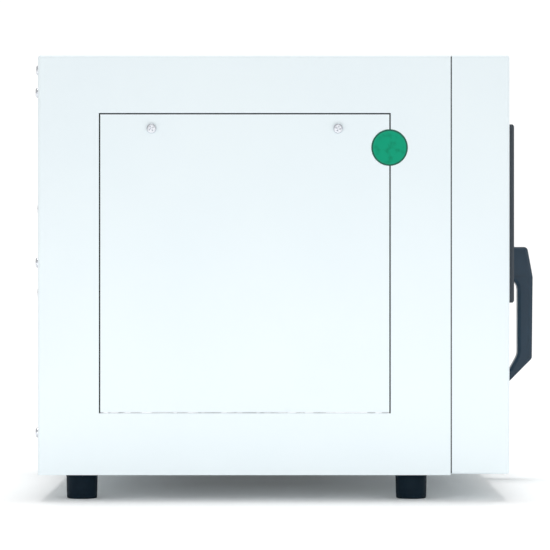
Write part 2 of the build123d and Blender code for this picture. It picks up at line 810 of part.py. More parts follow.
with BuildPart(Plane(origin=(x_duct, y_rear_wall, z_duct), x_dir=(1, 0, 0), z_dir=(0, 1, 0))) as exhaust_duct:
    Cylinder(duct_radius, y_back_in - y_rear_wall, align=(Align.CENTER, Align.CENTER, Align.MIN))
    Cylinder(duct_radius - duct_wall, 4 * (y_back_in - y_rear_wall), mode=Mode.SUBTRACT)
exhaust_duct.part.label = "exhaust_duct"
export_step(exhaust_duct.part, "parts/exhaust_duct.step")

with BuildPart(rear_plane(x_duct, y_rear - sheet, z_duct)) as exhaust_spigot:
    with BuildSketch(rear_plane(x_duct, y_rear - sheet, z_duct)):
        RectangleRounded(spigot_flange, spigot_flange, spigot_corner)
        with GridLocations(spigot_pitch, spigot_pitch, 2, 2):
            Circle(screw_hole, mode=Mode.SUBTRACT)
    extrude(amount=fitting_flange)
    Cylinder(duct_radius, spigot_out + sheet, align=(Align.CENTER, Align.CENTER, Align.MIN))
    chamfer(exhaust_spigot.edges().group_by(Axis.Y)[-1], duct_wall / 2)
    Cylinder(duct_radius - duct_wall, 4 * spigot_out, mode=Mode.SUBTRACT)
exhaust_spigot.part.label = "exhaust_spigot"
export_step(exhaust_spigot.part, "parts/exhaust_spigot.step")

# ---------------------------------------------------------------- rear fittings

with BuildPart(rear_plane(x_bay_mid, y_back_in - fan_depth, z_fan)) as cooling_fan_frame:
    with BuildSketch(rear_plane(x_bay_mid, y_back_in - fan_depth, z_fan)):
        RectangleRounded(fan_size, fan_size, fan_corner)
        Circle(fan_bore, mode=Mode.SUBTRACT)
        with GridLocations(fan_hole_pitch, fan_hole_pitch, 2, 2):
            Circle(screw_hole, mode=Mode.SUBTRACT)
    extrude(amount=fan_depth)
    Cylinder(fan_hub, fan_spider, align=(Align.CENTER, Align.CENTER, Align.MIN))
    with PolarLocations((fan_hub + fan_bore) / 2, 4, start_angle=45):
        Box(fan_bore - fan_hub + ease, fan_arm, fan_spider, align=(Align.CENTER, Align.CENTER, Align.MIN))
    Cylinder(fan_stub_radius, fan_stub_length, align=(Align.CENTER, Align.CENTER, Align.MIN))
cooling_fan_frame.part.label = "cooling_fan_frame"
export_step(cooling_fan_frame.part, "parts/cooling_fan_frame.step")

rotor_depth = fan_depth - fan_spider - 3 * rest_gap
blade_span = fan_bore - fan_tip_gap - fan_hub + 2 * fan_blade_root
with BuildPart(rear_plane(x_bay_mid, y_back_in - fan_depth + fan_spider + rest_gap, z_fan)) as cooling_rotor:
    Cylinder(fan_hub, rotor_depth, align=(Align.CENTER, Align.CENTER, Align.MIN))
    with Locations((0, 0, rotor_depth / 2)):
        with PolarLocations((fan_hub + fan_bore - fan_tip_gap) / 2 - fan_blade_root, fan_blades):
            Box(blade_span, fan_blade_thick, fan_blade_chord, rotation=(fan_blade_angle, 0, 0))
    Cylinder(fan_stub_radius + shaft_fit, 2 * (fan_stub_length - fan_spider), mode=Mode.SUBTRACT)
cooling_rotor.part.label = "cooling_rotor"
export_step(cooling_rotor.part, "parts/cooling_rotor.step")

with BuildPart() as fan_guard:
    with BuildSketch(rear_plane(x_bay_mid, y_rear - sheet, z_fan)):
        for ring in range(guard_rings, 0, -1):
            Circle(guard_pitch * ring + guard_wire / 2)
            Circle(guard_pitch * ring - guard_wire / 2, mode=Mode.SUBTRACT)
        with PolarLocations((guard_pitch + guard_reach) / 2, 4, start_angle=45):
            Rectangle(guard_reach - guard_pitch, guard_wire)
        with GridLocations(fan_hole_pitch, fan_hole_pitch, 2, 2):
            Circle(guard_pad)
        with GridLocations(fan_hole_pitch, fan_hole_pitch, 2, 2):
            Circle(screw_hole, mode=Mode.SUBTRACT)
    extrude(amount=fitting_flange)
fan_guard.part.label = "fan_guard"
export_step(fan_guard.part, "parts/fan_guard.step")

socket_floor = fitting_flange - inlet_socket
with BuildPart(rear_plane(x_bay_mid, y_rear - sheet, z_inlet)) as power_inlet:
    with BuildSketch(rear_plane(x_bay_mid, y_rear - sheet, z_inlet)):
        RectangleRounded(inlet_flange_width, inlet_flange_height, inlet_corner)
        with GridLocations(inlet_hole_pitch, 0, 2, 1):
            Circle(screw_hole, mode=Mode.SUBTRACT)
    extrude(amount=fitting_flange)
    Box(inlet_width, inlet_height, inlet_depth, align=(Align.CENTER, Align.CENTER, Align.MAX))
    with BuildSketch(rear_plane(x_bay_mid, y_rear - sheet + fitting_flange, z_inlet)):
        with BuildLine():
            socket_u = inlet_width / 2 - inlet_wall
            socket_v = inlet_height / 2 - inlet_wall
            Polyline((-socket_u, -socket_v), (socket_u, -socket_v), (socket_u, socket_v - inlet_corner),
                     (socket_u - inlet_corner, socket_v), (inlet_corner - socket_u, socket_v),
                     (-socket_u, socket_v - inlet_corner), close=True)
        make_face()
    extrude(amount=-inlet_socket, mode=Mode.SUBTRACT)
    with Locations((-pin_pitch, -pin_height / 2, socket_floor), (0, pin_height / 2, socket_floor),
                   (pin_pitch, -pin_height / 2, socket_floor)):
        Box(pin_width, pin_height, inlet_socket - fitting_flange,
            align=(Align.CENTER, Align.CENTER, Align.MIN))
power_inlet.part.label = "power_inlet"
export_step(power_inlet.part, "parts/power_inlet.step")

with BuildPart(rear_plane(x_bay_mid, y_rear - sheet, z_switch)) as switch_housing:
    with BuildSketch(rear_plane(x_bay_mid, y_rear - sheet, z_switch)):
        RectangleRounded(switch_width + 2 * switch_border, switch_height + 2 * switch_border,
                         switch_border)
    extrude(amount=fitting_flange)
    Box(switch_width, switch_height, inlet_depth, align=(Align.CENTER, Align.CENTER, Align.MAX))
    with Locations((0, 0, fitting_flange)):
        Box(switch_width - 2 * switch_wall, switch_height - 2 * switch_wall,
            2 * (switch_well + fitting_flange), mode=Mode.SUBTRACT)
    with Locations((0, 0, -rocker_depth)):
        Cylinder(rocker_pin_radius, switch_width - switch_wall, rotation=(0, 90, 0), mode=Mode.SUBTRACT)
switch_housing.part.label = "switch_housing"
export_step(switch_housing.part, "parts/switch_housing.step")

# The rocker lies tipped at rest, its lower half pressed in.  Its plane's x runs up the rocker, its y out.
rocker_width = switch_width - 2 * switch_wall - 2 * rest_gap
pin_reach = switch_wall / 2 - rest_gap
rocker_plane = Plane(
    origin=(x_bay_mid + rocker_width / 2, y_rear - sheet - rocker_depth, z_switch),
    x_dir=(0, sin(radians(rocker_tilt)), cos(radians(rocker_tilt))),
    z_dir=(-1, 0, 0),
)
with BuildPart(rocker_plane) as rocker:
    with BuildSketch(rocker_plane):
        with BuildLine():
            Polyline((-rocker_half, rocker_crest), (0, rocker_valley), (rocker_half, rocker_crest),
                     (rocker_half, rocker_side), (0, -rocker_keel), (-rocker_half, rocker_side), close=True)
        make_face()
    extrude(amount=rocker_width)
    with Locations((0, 0, rocker_width / 2)):
        Cylinder(rocker_pin_radius - shaft_fit, rocker_width + 2 * rest_gap + 2 * pin_reach)
rocker.part.label = "rocker"
export_step(rocker.part, "parts/rocker.step")

# ---------------------------------------------------------------- control panel

with BuildPart() as control_bezel:
    block(panel_x, (y_panel, y_front), panel_z)
    chamfer(control_bezel.faces().sort_by(Axis.Y)[0].edges(), panel_chamfer)
    block(grown(panel_x, -panel_rim), (y_panel + panel_face, y_front), grown(panel_z, -panel_rim),
          mode=Mode.SUBTRACT)
    with BuildSketch(front_plane(y_panel)):
        with Locations((x_panel, z_screen)):
            Rectangle(screen_width + 2 * lens_lap, screen_height + 2 * lens_lap)
    extrude(amount=-lens_thick, mode=Mode.SUBTRACT)
    with BuildSketch(front_plane(y_panel)):
        with Locations((x_panel, z_screen)):
            Rectangle(screen_width, screen_height)
        with Locations((x_panel, panel_z[1] - key_drop - key_pitch_z / 2)):
            with GridLocations(key_pitch_x, key_pitch_z, 2, 2):
                Circle(key_radius + key_gap)
    extrude(amount=-panel_face, mode=Mode.SUBTRACT)
control_bezel.part.label = "control_bezel"
export_step(control_bezel.part, "parts/control_bezel.step")

with BuildPart() as display_lens:
    with BuildSketch(front_plane(y_panel)):
        with Locations((x_panel, z_screen)):
            RectangleRounded(screen_width + 2 * lens_lap - screw_slack,
                             screen_height + 2 * lens_lap - screw_slack, ease)
    extrude(amount=-lens_thick)
display_lens.part.label = "display_lens"
export_step(display_lens.part, "parts/display_lens.step")

y_board = y_front + board_depth
with BuildPart() as lcd_module:
    block(grown((x_panel, x_panel), screen_width / 2 + lens_lap), (y_panel + panel_face, y_board),
          grown((z_screen, z_screen), screen_height / 2 + lens_lap))
    block(grown((x_panel, x_panel), screen_width / 2 - ease), (y_panel + lens_thick + rest_gap, y_board),
          grown((z_screen, z_screen), screen_height / 2 - ease))
lcd_module.part.label = "lcd_module"
export_step(lcd_module.part, "parts/lcd_module.step")

key_back = y_front + key_setback
key_spots = {
    "key_menu": (x_panel - key_pitch_x / 2, panel_z[1] - key_drop),
    "key_up": (x_panel + key_pitch_x / 2, panel_z[1] - key_drop),
    "key_start": (x_panel - key_pitch_x / 2, panel_z[1] - key_drop - key_pitch_z),
    "key_down": (x_panel + key_pitch_x / 2, panel_z[1] - key_drop - key_pitch_z),
}
for key_name, (x, z) in key_spots.items():
    with BuildPart(keypad_plane(x, key_back, z)) as key:
        Cylinder(key_radius, key_back - y_panel + key_proud, align=(Align.CENTER, Align.CENTER, Align.MIN))
        fillet(key.edges().group_by(Axis.Y)[0], key_proud * 0.7)
        with Locations((0, 0, key_back - y_panel - panel_face - rest_gap - key_flange)):
            Cylinder(key_radius + key_gap + key_lip, key_flange,
                     align=(Align.CENTER, Align.CENTER, Align.MIN))
    key.part.label = key_name
    export_step(key.part, "parts/" + key_name + ".step")

y_board_back = y_board + board_thick
with BuildPart() as control_board:
    block(grown(panel_x, -panel_rim - ease), (y_board, y_board_back),
          grown(panel_z, -panel_rim - ease))
    for x, z in key_spots.values():
        with Locations(keypad_plane(x, y_board, z)):
            Box(tact_width, tact_width, tact_height, align=(Align.CENTER, Align.CENTER, Align.MIN))
            Cylinder(tact_button, y_board - key_back - key_travel - rest_gap,
                     align=(Align.CENTER, Align.CENTER, Align.MIN))
    block(grown((x_panel, x_panel), chip_width / 2), (y_board_back, y_board_back + chip_height),
          grown((z_screen, z_screen), chip_width / 2))
    block(grown((x_panel, x_panel), header_width / 2), (y_board_back, y_board_back + header_depth),
          (panel_z[0] + header_rise, panel_z[0] + header_rise + header_height))
control_board.part.label = "control_board"
export_step(control_board.part, "parts/control_board.step")

# ---------------------------------------------------------------- electrical bay

x_sink = x_bay - sink_plate
with BuildPart() as heat_sink:
    block((x_sink, x_bay), (-sink_length / 2, sink_length / 2), (z_mid - sink_below, z_mid + sink_above))
    with Locations((x_sink, 0, z_mid + fin_rise)):
        with GridLocations(0, fin_pitch, 1, fin_count):
            Box(fin_depth, fin_thick, fin_height, align=(Align.MAX, Align.CENTER, Align.CENTER))
heat_sink.part.label = "heat_sink"
export_step(heat_sink.part, "parts/heat_sink.step")

x_relay = x_sink - relay_depth
with BuildPart() as solid_state_relays:
    for y in (-relay_spacing, relay_spacing):
        relay_y = grown((y, y), relay_width / 2)
        block((x_relay, x_sink), relay_y, (z_mid - relay_low, z_mid - relay_high))
        block((x_relay - relay_cap, x_relay), grown(relay_y, -relay_cap_inset),
              (z_mid - relay_cap_low, z_mid - relay_cap_high))
solid_state_relays.part.label = "solid_state_relays"
export_step(solid_state_relays.part, "parts/solid_state_relays.step")

supply_x = (inner_x[0] + supply_inset, inner_x[0] + supply_inset + supply_width)
with BuildPart() as power_supply:
    block(supply_x, supply_y, (inner_z[0], inner_z[0] + supply_height))
    chamfer(power_supply.edges().filter_by(Axis.Y).group_by(Axis.Z)[-1], supply_chamfer)
    block(grown(supply_x, -supply_strip_inset), (supply_y[1], supply_y[1] + supply_strip_depth),
          (inner_z[0], inner_z[0] + supply_strip_height))
power_supply.part.label = "power_supply"
export_step(power_supply.part, "parts/power_supply.step")

terminal_x = (inner_x[0] + terminal_inset, inner_x[0] + terminal_inset + terminal_width)
terminal_top = inner_z[0] + terminal_height
with BuildPart() as terminal_block:
    block(terminal_x, terminal_y, (inner_z[0], terminal_top))
    for i in range(terminal_cells):
        x_cell = terminal_x[0] + terminal_margin + terminal_cell_pitch * i
        block((x_cell, x_cell + terminal_cell), grown(terminal_y, -terminal_cell_inset),
              (terminal_top, terminal_top + terminal_cell_rise))
terminal_block.part.label = "terminal_block"
export_step(terminal_block.part, "parts/terminal_block.step")

# ---------------------------------------------------------------- slides

with BuildPart() as slide_brackets:
    slide_bracket_y = (inner_y[0], slide_y[1] + slide_bracket_tail)
    block((x_slide - sheet, x_slide), slide_bracket_y, (inner_z[0], board_z[0]))
    block((x_slide - sheet, x_slide + slide_flange), slide_bracket_y, (inner_z[0], inner_z[0] + sheet))
    block((hot_x[0], x_slide), slide_bracket_y, (board_z[0] - sheet, board_z[0]))
    mirror(about=middle_line)
slide_brackets.part.label = "slide_brackets"
export_step(slide_brackets.part, "parts/slide_brackets.step")

with BuildPart() as slide_outers:
    block((x_slide, x_slide + slide_thick - slide_lip), slide_y, slide_z)
    block((x_slide + slide_wall, x_slide + slide_thick), slide_y, grown(slide_z, -slide_wall),
          mode=Mode.SUBTRACT)
    mirror(about=middle_line)
slide_outers.part.label = "slide_outers"
export_step(slide_outers.part, "parts/slide_outers.step")

middle_z = grown(slide_z, -slide_wall - slide_play)
middle_x = (x_slide + slide_wall + slide_play, x_slide + slide_thick - slide_lip / 2)
with BuildPart() as slide_middles:
    block(middle_x, slide_y, middle_z)
    block((middle_x[0] + slide_wall, middle_x[1]), slide_y, grown(middle_z, -slide_wall), mode=Mode.SUBTRACT)
    mirror(about=middle_line)
slide_middles.part.label = "slide_middles"
export_step(slide_middles.part, "parts/slide_middles.step")

runner_z = grown(middle_z, -slide_wall - slide_play)
runner_x = (middle_x[0] + slide_wall + slide_play, x_slide + slide_thick)
with BuildPart() as slide_inners:
    block(runner_x, slide_y, runner_z)
    block((runner_x[0], runner_x[1] - slide_wall), slide_y, grown(runner_z, -slide_wall), mode=Mode.SUBTRACT)
    mirror(about=middle_line)
slide_inners.part.label = "slide_inners"
export_step(slide_inners.part, "parts/slide_inners.step")

# ---------------------------------------------------------------- drawer

arm_x = (x_slide + slide_thick, x_slide + slide_thick + arm_thick)
arm_z = grown((z_slide_mid, z_slide_mid), arm_height / 2)
with BuildPart() as drawer_arms:
    block(arm_x, (y_drawer_rear, y_drawer_rear + arm_length), arm_z)
    block((arm_x[0], arm_x[1] + arm_return), (y_drawer_rear, y_drawer_rear + arm_thick), arm_z)
    mirror(about=middle_line)
drawer_arms.part.label = "drawer_arms"
export_step(drawer_arms.part, "parts/drawer_arms.step")

handle_screw_z = (z_base + handle_low + handle_screw_rise, z_base + handle_high - handle_leg / 2)
with BuildPart() as drawer_front:
    block(drawer_x, (y_front, y_drawer_rear - sheet), drawer_z)
    skin_edges = drawer_front.faces().sort_by(Axis.Y)[0].edges()
    fillet(drawer_front.edges().filter_by(Axis.Y) + skin_edges, sheet)
    block(grown(drawer_x, -sheet), (y_front + sheet, y_drawer_rear - sheet), grown(drawer_z, -sheet),
          mode=Mode.SUBTRACT)
    block(window_x, (y_front, y_front + sheet), window_z, mode=Mode.SUBTRACT)
    with BuildSketch(front_plane(y_front)):
        with Locations(*[(x_mid, z) for z in handle_screw_z]):
            Circle(handle_screw_radius + screw_slack)
    extrude(amount=-sheet, mode=Mode.SUBTRACT)
drawer_front.part.label = "drawer_front"
export_step(drawer_front.part, "parts/drawer_front.step")

sight_x = grown(window_x, -trim_lap)
sight_z = grown(window_z, -trim_lap)
with BuildPart() as drawer_inner_panel:
    block(drawer_x, (y_drawer_rear - sheet, y_drawer_rear), drawer_z)
    block(sight_x, (y_drawer_rear - sheet, y_drawer_rear), sight_z, mode=Mode.SUBTRACT)
drawer_inner_panel.part.label = "drawer_inner_panel"
export_step(drawer_inner_panel.part, "parts/drawer_inner_panel.step")

with BuildPart() as drawer_insulation:
    block(grown(drawer_x, -sheet - rest_gap), (y_front + drawer_board_setback, y_drawer_rear - sheet),
          grown(drawer_z, -sheet - rest_gap))
    block(grown(window_x, trim_lap + ease), (y_front + drawer_board_setback, y_drawer_rear - sheet),
          grown(window_z, trim_lap + ease), mode=Mode.SUBTRACT)
drawer_insulation.part.label = "drawer_insulation"
export_step(drawer_insulation.part, "parts/drawer_insulation.step")

window_height = window_z[1] - window_z[0]
with BuildPart() as window_trim:
    with BuildSketch(front_plane(y_front)):
        with Locations((x_mid, sum(window_z) / 2)):
            RectangleRounded(window_width + 2 * trim_rim, window_height + 2 * trim_rim, trim_corner)
            RectangleRounded(window_width - 2 * trim_lap, window_height - 2 * trim_lap, trim_corner / 2,
                             mode=Mode.SUBTRACT)
    extrude(amount=trim_thick)
    fillet(window_trim.faces().sort_by(Axis.Y)[0].edges(), trim_thick / 3)
window_trim.part.label = "window_trim"
export_step(window_trim.part, "parts/window_trim.step")

with BuildPart() as window_glass:
    block(grown(window_x, -ease), (y_front, y_front + glass_thick), grown(window_z, -ease))
window_glass.part.label = "window_glass"
export_step(window_glass.part, "parts/window_glass.step")

with BuildPart() as inner_glass:
    block(grown(window_x, trim_lap), (y_drawer_rear - sheet - glass_thick, y_drawer_rear - sheet),
          grown(window_z, trim_lap))
inner_glass.part.label = "inner_glass"
export_step(inner_glass.part, "parts/inner_glass.step")


def out(reach, height):
    """A point of the handle's side profile, from its reach and its height above the case's underside."""
    return (y_front - reach, z_base + height)


# A flat-topped bridge: a deep upper leg, a straight bar and a lower leg that slants back to the drawer.
bar_inside = handle_reach - handle_bar
with BuildPart() as handle:
    with BuildSketch(Plane.YZ.offset(x_mid - handle_width / 2)):
        with BuildLine():
            Polyline(
                out(0, handle_low),
                out(handle_reach - handle_lean, handle_elbow),
                out(handle_reach, handle_knee),
                out(handle_top_reach, handle_high),
                out(0, handle_high),
                out(0, handle_high - handle_leg),
                out(bar_inside, handle_high - handle_leg),
                out(bar_inside, handle_inner_elbow),
                out(handle_bend_reach, handle_bend_height),
                out(handle_heel, handle_low + handle_foot),
                out(0, handle_low + handle_foot),
                close=True,
            )
        make_face()
    extrude(amount=handle_width)
    inner_corner = handle.edges().filter_by(Axis.X).sort_by_distance(
        (x_mid, *out(bar_inside, handle_high - handle_leg)))[0]
    fillet(inner_corner, bar_inside * 0.3)
    for corner in ((handle_top_reach, handle_high), (handle_reach - handle_lean, handle_elbow)):
        edge = handle.edges().filter_by(Axis.X).sort_by_distance((x_mid, *out(*corner)))[0]
        fillet(edge, handle_edge)
    outer_edges = [e for e in handle.faces().sort_by(Axis.X)[0].edges() if e.center().Y < y_front - 1]
    outer_edges += [e for e in handle.faces().sort_by(Axis.X)[-1].edges() if e.center().Y < y_front - 1]
    fillet(outer_edges, handle_edge)
    for z, depth in zip(handle_screw_z, (handle_foot_bore, handle_leg_bore)):
        with Locations(keypad_plane(x_mid, y_front, z)):
            Cylinder(handle_screw_radius + screw_slack, depth, mode=Mode.SUBTRACT,
                     align=(Align.CENTER, Align.CENTER, Align.MIN))
handle.part.label = "handle"
export_step(handle.part, "parts/handle.step")

handle_screw = pan_screw(2 * handle_screw_radius, handle_screw_head, handle_screw_radius,
                         sheet + handle_screw_bite)
with BuildPart() as handle_screws:
    with Locations(*[rear_plane(x_mid, y_front + sheet, z) for z in handle_screw_z]):
        add(handle_screw)
handle_screws.part.label = "handle_screws"
export_step(handle_screws.part, "parts/handle_screws.step")

tray_x = grown(room_x, -tray_side_gap)
tray_y = (y_drawer_rear + tray_end_gap, y_baffle - tray_end_gap)
with BuildPart() as tray_frame:
    with BuildSketch(Plane.XY.offset(z_tray)):
        patch(tray_x, tray_y)
        patch(grown(tray_x, -tray_bar), grown(tray_y, -tray_bar), mode=Mode.SUBTRACT)
    extrude(amount=tray_thick)
tray_frame.part.label = "tray_frame"
export_step(tray_frame.part, "parts/tray_frame.step")

mesh_x = grown(tray_x, -mesh_inset)
mesh_y = grown(tray_y, -mesh_inset)
mesh_columns = int((mesh_x[1] - mesh_x[0] - tray_bar) // mesh_pitch)
mesh_rows = int((mesh_y[1] - mesh_y[0] - tray_bar) // mesh_pitch)
with BuildPart() as tray_mesh:
    with BuildSketch(Plane.XY.offset(z_tray + tray_thick)):
        patch(mesh_x, mesh_y)
        with Locations((sum(mesh_x) / 2, sum(mesh_y) / 2)):
            with GridLocations(mesh_pitch, mesh_pitch, mesh_columns, mesh_rows):
                Rectangle(mesh_pitch - mesh_wire, mesh_pitch - mesh_wire, mode=Mode.SUBTRACT)
    extrude(amount=mesh_thick)
tray_mesh.part.label = "tray_mesh"
export_step(tray_mesh.part, "parts/tray_mesh.step")

with BuildPart() as tray_brackets:
    bracket_x = (tray_x[0] + bracket_inset, tray_x[0] + bracket_inset + bracket_width)
    block(bracket_x, (y_drawer_rear, y_drawer_rear + bracket_thick),
          (z_tray - bracket_thick, z_tray + bracket_rise))
    block(bracket_x, (y_drawer_rear, tray_y[0] + tray_bar), (z_tray - bracket_thick, z_tray))
    mirror(about=middle_line)
tray_brackets.part.label = "tray_brackets"
export_step(tray_brackets.part, "parts/tray_brackets.step")

mouth_x = grown(room_x, gasket_inset)
mouth_z = grown(room_z, gasket_inset)
with BuildPart() as mouth_gasket:
    block(grown(mouth_x, gasket_width), (y_cover - gasket_thick, y_cover), grown(mouth_z, gasket_width))
    block(mouth_x, (y_cover - gasket_thick, y_cover), mouth_z, mode=Mode.SUBTRACT)
mouth_gasket.part.label = "mouth_gasket"
export_step(mouth_gasket.part, "parts/mouth_gasket.step")
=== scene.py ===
# %% [markdown]
# # A bench-top reflow oven
# This lesson dresses a finished mechanical model. Every plate, screw and rail of the oven already
# exists at its real size and place, so nothing here is positioned by eye. We give each surface a
# finish, and we rebuild the pieces whose charm is in their detail: the handle, the screws, the
# round inspection seal, the feet, the fan and its wire guard, the tray, the gasket and the heaters.
# Units are metres, +Z is up, the front of the oven faces -Y and its left wall is at -X.

# %% Load the fixed model
import bmesh
import bpy
import json
from math import cos, exp, pi, radians, sin, tau
from mathutils import Matrix, Vector, noise


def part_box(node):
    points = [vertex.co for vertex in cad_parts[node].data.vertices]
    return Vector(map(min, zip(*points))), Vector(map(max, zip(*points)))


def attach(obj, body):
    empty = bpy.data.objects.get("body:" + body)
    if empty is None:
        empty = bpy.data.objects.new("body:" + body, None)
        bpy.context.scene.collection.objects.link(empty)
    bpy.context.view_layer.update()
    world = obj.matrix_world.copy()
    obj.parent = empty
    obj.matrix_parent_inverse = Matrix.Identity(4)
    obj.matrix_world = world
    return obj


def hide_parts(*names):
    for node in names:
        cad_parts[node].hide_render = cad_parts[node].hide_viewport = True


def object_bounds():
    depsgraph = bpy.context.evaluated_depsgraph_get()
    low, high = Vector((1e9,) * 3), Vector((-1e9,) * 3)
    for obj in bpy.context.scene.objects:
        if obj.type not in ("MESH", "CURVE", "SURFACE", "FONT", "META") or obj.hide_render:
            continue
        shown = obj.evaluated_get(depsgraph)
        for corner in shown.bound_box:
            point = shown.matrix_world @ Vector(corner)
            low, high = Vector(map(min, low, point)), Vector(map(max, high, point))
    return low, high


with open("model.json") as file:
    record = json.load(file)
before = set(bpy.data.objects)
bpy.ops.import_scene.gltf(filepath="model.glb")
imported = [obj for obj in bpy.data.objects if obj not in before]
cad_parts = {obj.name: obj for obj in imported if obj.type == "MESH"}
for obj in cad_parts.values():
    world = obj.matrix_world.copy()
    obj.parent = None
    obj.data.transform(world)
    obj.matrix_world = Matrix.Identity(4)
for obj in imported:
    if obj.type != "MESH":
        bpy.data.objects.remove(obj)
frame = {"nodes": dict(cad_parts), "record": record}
cad_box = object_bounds()
slot_of = {part["node"]: part["material_slot"] for part in frame["record"]["subparts"]}
MM = 0.001

# %% [markdown]
# ## Places to measure from
# A piece that stands for a part has to lie exactly where that part lies. We never type those
# places. We read the box of each part once and name the lines that matter, the way a maker marks
# out a sheet before cutting it.

# %% Name the lines of the oven
case_low, case_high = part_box("case_cover")
front_low, front_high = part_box("front_fascia")
access_low, access_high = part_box("access_cover")
y_front = front_low.y
y_rear = case_high.y
x_left = case_low.x
centre = (cad_box[0] + cad_box[1]) / 2
print("case", [round(side, 4) for side in case_high - case_low])
print("front skin at y", round(y_front, 4))

# %% [markdown]
# ## Camera
# The view is a catalogue side view. A long lens far away keeps the wall square and the edges
# parallel, which a wide lens close by can't do. The camera looks straight along +X. It is aimed a
# little below the middle of the wall, so that the floor has room at the bottom of the frame.

# %% Camera
view_width = 466.125 * MM
distance = 2.5
sensor = 36.0
aim_behind_front = 198.9 * MM
aim_above_case_foot = 169.6 * MM
camera_data = bpy.data.cameras.new("side_view")
camera_data.sensor_width = sensor
camera_data.lens = sensor * distance / view_width
camera_data.clip_end = 50
camera = bpy.data.objects.new("side_view", camera_data)
camera.location = (x_left - distance, y_front + aim_behind_front, case_low.z + aim_above_case_foot)
camera.rotation_euler = (radians(90), 0, radians(-90))
bpy.context.scene.collection.objects.link(camera)
bpy.context.scene.camera = camera
print("lens", round(camera_data.lens, 1), "mm")

# %% [markdown]
# ## Floor and light
# A catalogue picture has no corners in its background: the floor simply is the background. The
# sky is pure white where the camera sees it, but it lights the oven at little more than half of
# that, so that metal and black plastic keep their contrast. A Light Path node tells the two apart.
# The rest comes from four lamps. A very broad sun stands almost overhead, leaning to the oven's far
# side, and its soft edge makes the contact shadow. A large lamp fills the left wall from afar, and
# another fills the front. A low strip near the left wall lifts the lower part of that wall. The
# floor glows very slightly, as a lit paper backdrop does, so the shadow under the case isn't black.

# %% Sky
scene = bpy.context.scene
scene.view_settings.view_transform = "Standard"
world = bpy.data.worlds.new("white_room")
scene.world = world
world.use_nodes = True
sky = world.node_tree.nodes["Background"]
sky.inputs["Color"].default_value = (1.0, 1.0, 1.0, 1.0)
sky_seen = 1.05
sky_light = 0.60
seen_by = world.node_tree.nodes.new("ShaderNodeLightPath")
strength = world.node_tree.nodes.new("ShaderNodeMapRange")
strength.inputs["To Min"].default_value = sky_light
strength.inputs["To Max"].default_value = sky_seen
world.node_tree.links.new(seen_by.outputs["Is Camera Ray"], strength.inputs["Value"])
world.node_tree.links.new(strength.outputs["Result"], sky.inputs["Strength"])
print("sky seen at", sky_seen, "and lighting at", sky_light)

# %% Floor
floor_white = 0.98
floor_glow = 0.04
floor_half = 60.0
floor_material = bpy.data.materials.new("studio_floor")
floor_material.use_nodes = True
floor_paint = floor_material.node_tree.nodes["Principled BSDF"]
floor_paint.inputs["Base Color"].default_value = (floor_white, floor_white, floor_white, 1.0)
floor_paint.inputs["Roughness"].default_value = 0.9
floor_paint.inputs["Specular IOR Level"].default_value = 0.0
floor_paint.inputs["Emission Color"].default_value = (1.0, 1.0, 1.0, 1.0)
floor_paint.inputs["Emission Strength"].default_value = floor_glow

bm = bmesh.new()
bmesh.ops.create_grid(bm, x_segments=1, y_segments=1, size=floor_half)
floor_mesh = bpy.data.meshes.new("studio_floor")
bm.to_mesh(floor_mesh)
bm.free()
floor_mesh.materials.append(floor_material)
floor = bpy.data.objects.new("studio_floor", floor_mesh)
scene.collection.objects.link(floor)
print("floor of", 2 * floor_half, "m")


# %% Lamps
def lamp(name, kind, place, energy, **settings):
    """A lamp that looks at the middle of the oven."""
    data = bpy.data.lights.new(name, kind)
    data.energy = energy
    for key, value in settings.items():
        setattr(data, key, value)
    source = bpy.data.objects.new(name, data)
    source.location = place
    source.rotation_mode = "QUATERNION"
    source.rotation_quaternion = (centre - Vector(place)).to_track_quat("-Z", "Y")
    scene.collection.objects.link(source)


lamp("broad_sun", "SUN", centre + Vector((0.5, 0.0, 3.2)), 1.42, angle=radians(20))
lamp("left_fill", "AREA", (-3.6, 0.0, 0.9), 12.0, size=2.2)
strip_place = (x_left - 0.25, 0.0, 0.06)
lamp("low_fill", "AREA", strip_place, 0.32, shape="RECTANGLE", size=1.2, size_y=0.1)
lamp("front_fill", "AREA", (0.9, -3.4, 1.0), 9.0, size=2.2)
print("one sun and three fills")

# %% [markdown]
# ## Shared surface effects
# Paint, moulded plastic, rolled sheet and fibre board all vary over their surface, and in much
# the same few ways. Each way becomes one node group with named inputs, so that a material is only
# a choice of values. A group hands back a colour, a roughness or a height. The shader itself and
# its constant numbers stay in the material.


# %% Two helpers for writing node trees
def put(tree, kind, inputs=None, **settings):
    """Adds one node. A socket given as an input is linked, anything else is its plain value."""
    node = tree.nodes.new("ShaderNode" + kind)
    for key, value in settings.items():
        setattr(node, key, value)
    for label, value in (inputs or {}).items():
        if isinstance(value, bpy.types.NodeSocket):
            tree.links.new(value, node.inputs[label])
        else:
            node.inputs[label].default_value = value
    return node


def new_group(name, inputs, outputs):
    """An empty node group with named sockets. Returns the tree, its inputs and its output node."""
    tree = bpy.data.node_groups.new(name, "ShaderNodeTree")
    for label, kind, value in inputs:
        socket = tree.interface.new_socket(label, in_out="INPUT", socket_type="NodeSocket" + kind)
        socket.default_value = value
    for label, kind in outputs:
        tree.interface.new_socket(label, in_out="OUTPUT", socket_type="NodeSocket" + kind)
    sources = tree.nodes.new("NodeGroupInput").outputs
    results = tree.nodes.new("NodeGroupOutput").inputs
    print("shared effect", name, "with", len(inputs), "inputs")
    return tree, sources, results


def math_node(tree, operation, first, second, third=0.0):
    """One Math node, with its three inputs by place."""
    return put(tree, "Math", {0: first, 1: second, 2: third}, operation=operation).outputs[0]


# %% [markdown]
# ### Grain
# Powder coat has orange peel, and moulded plastic has an eroded texture. Both are a fine noise
# riding on a slower one. The same slow noise also makes some patches a little glossier, which is
# what the eye reads as a real coating.

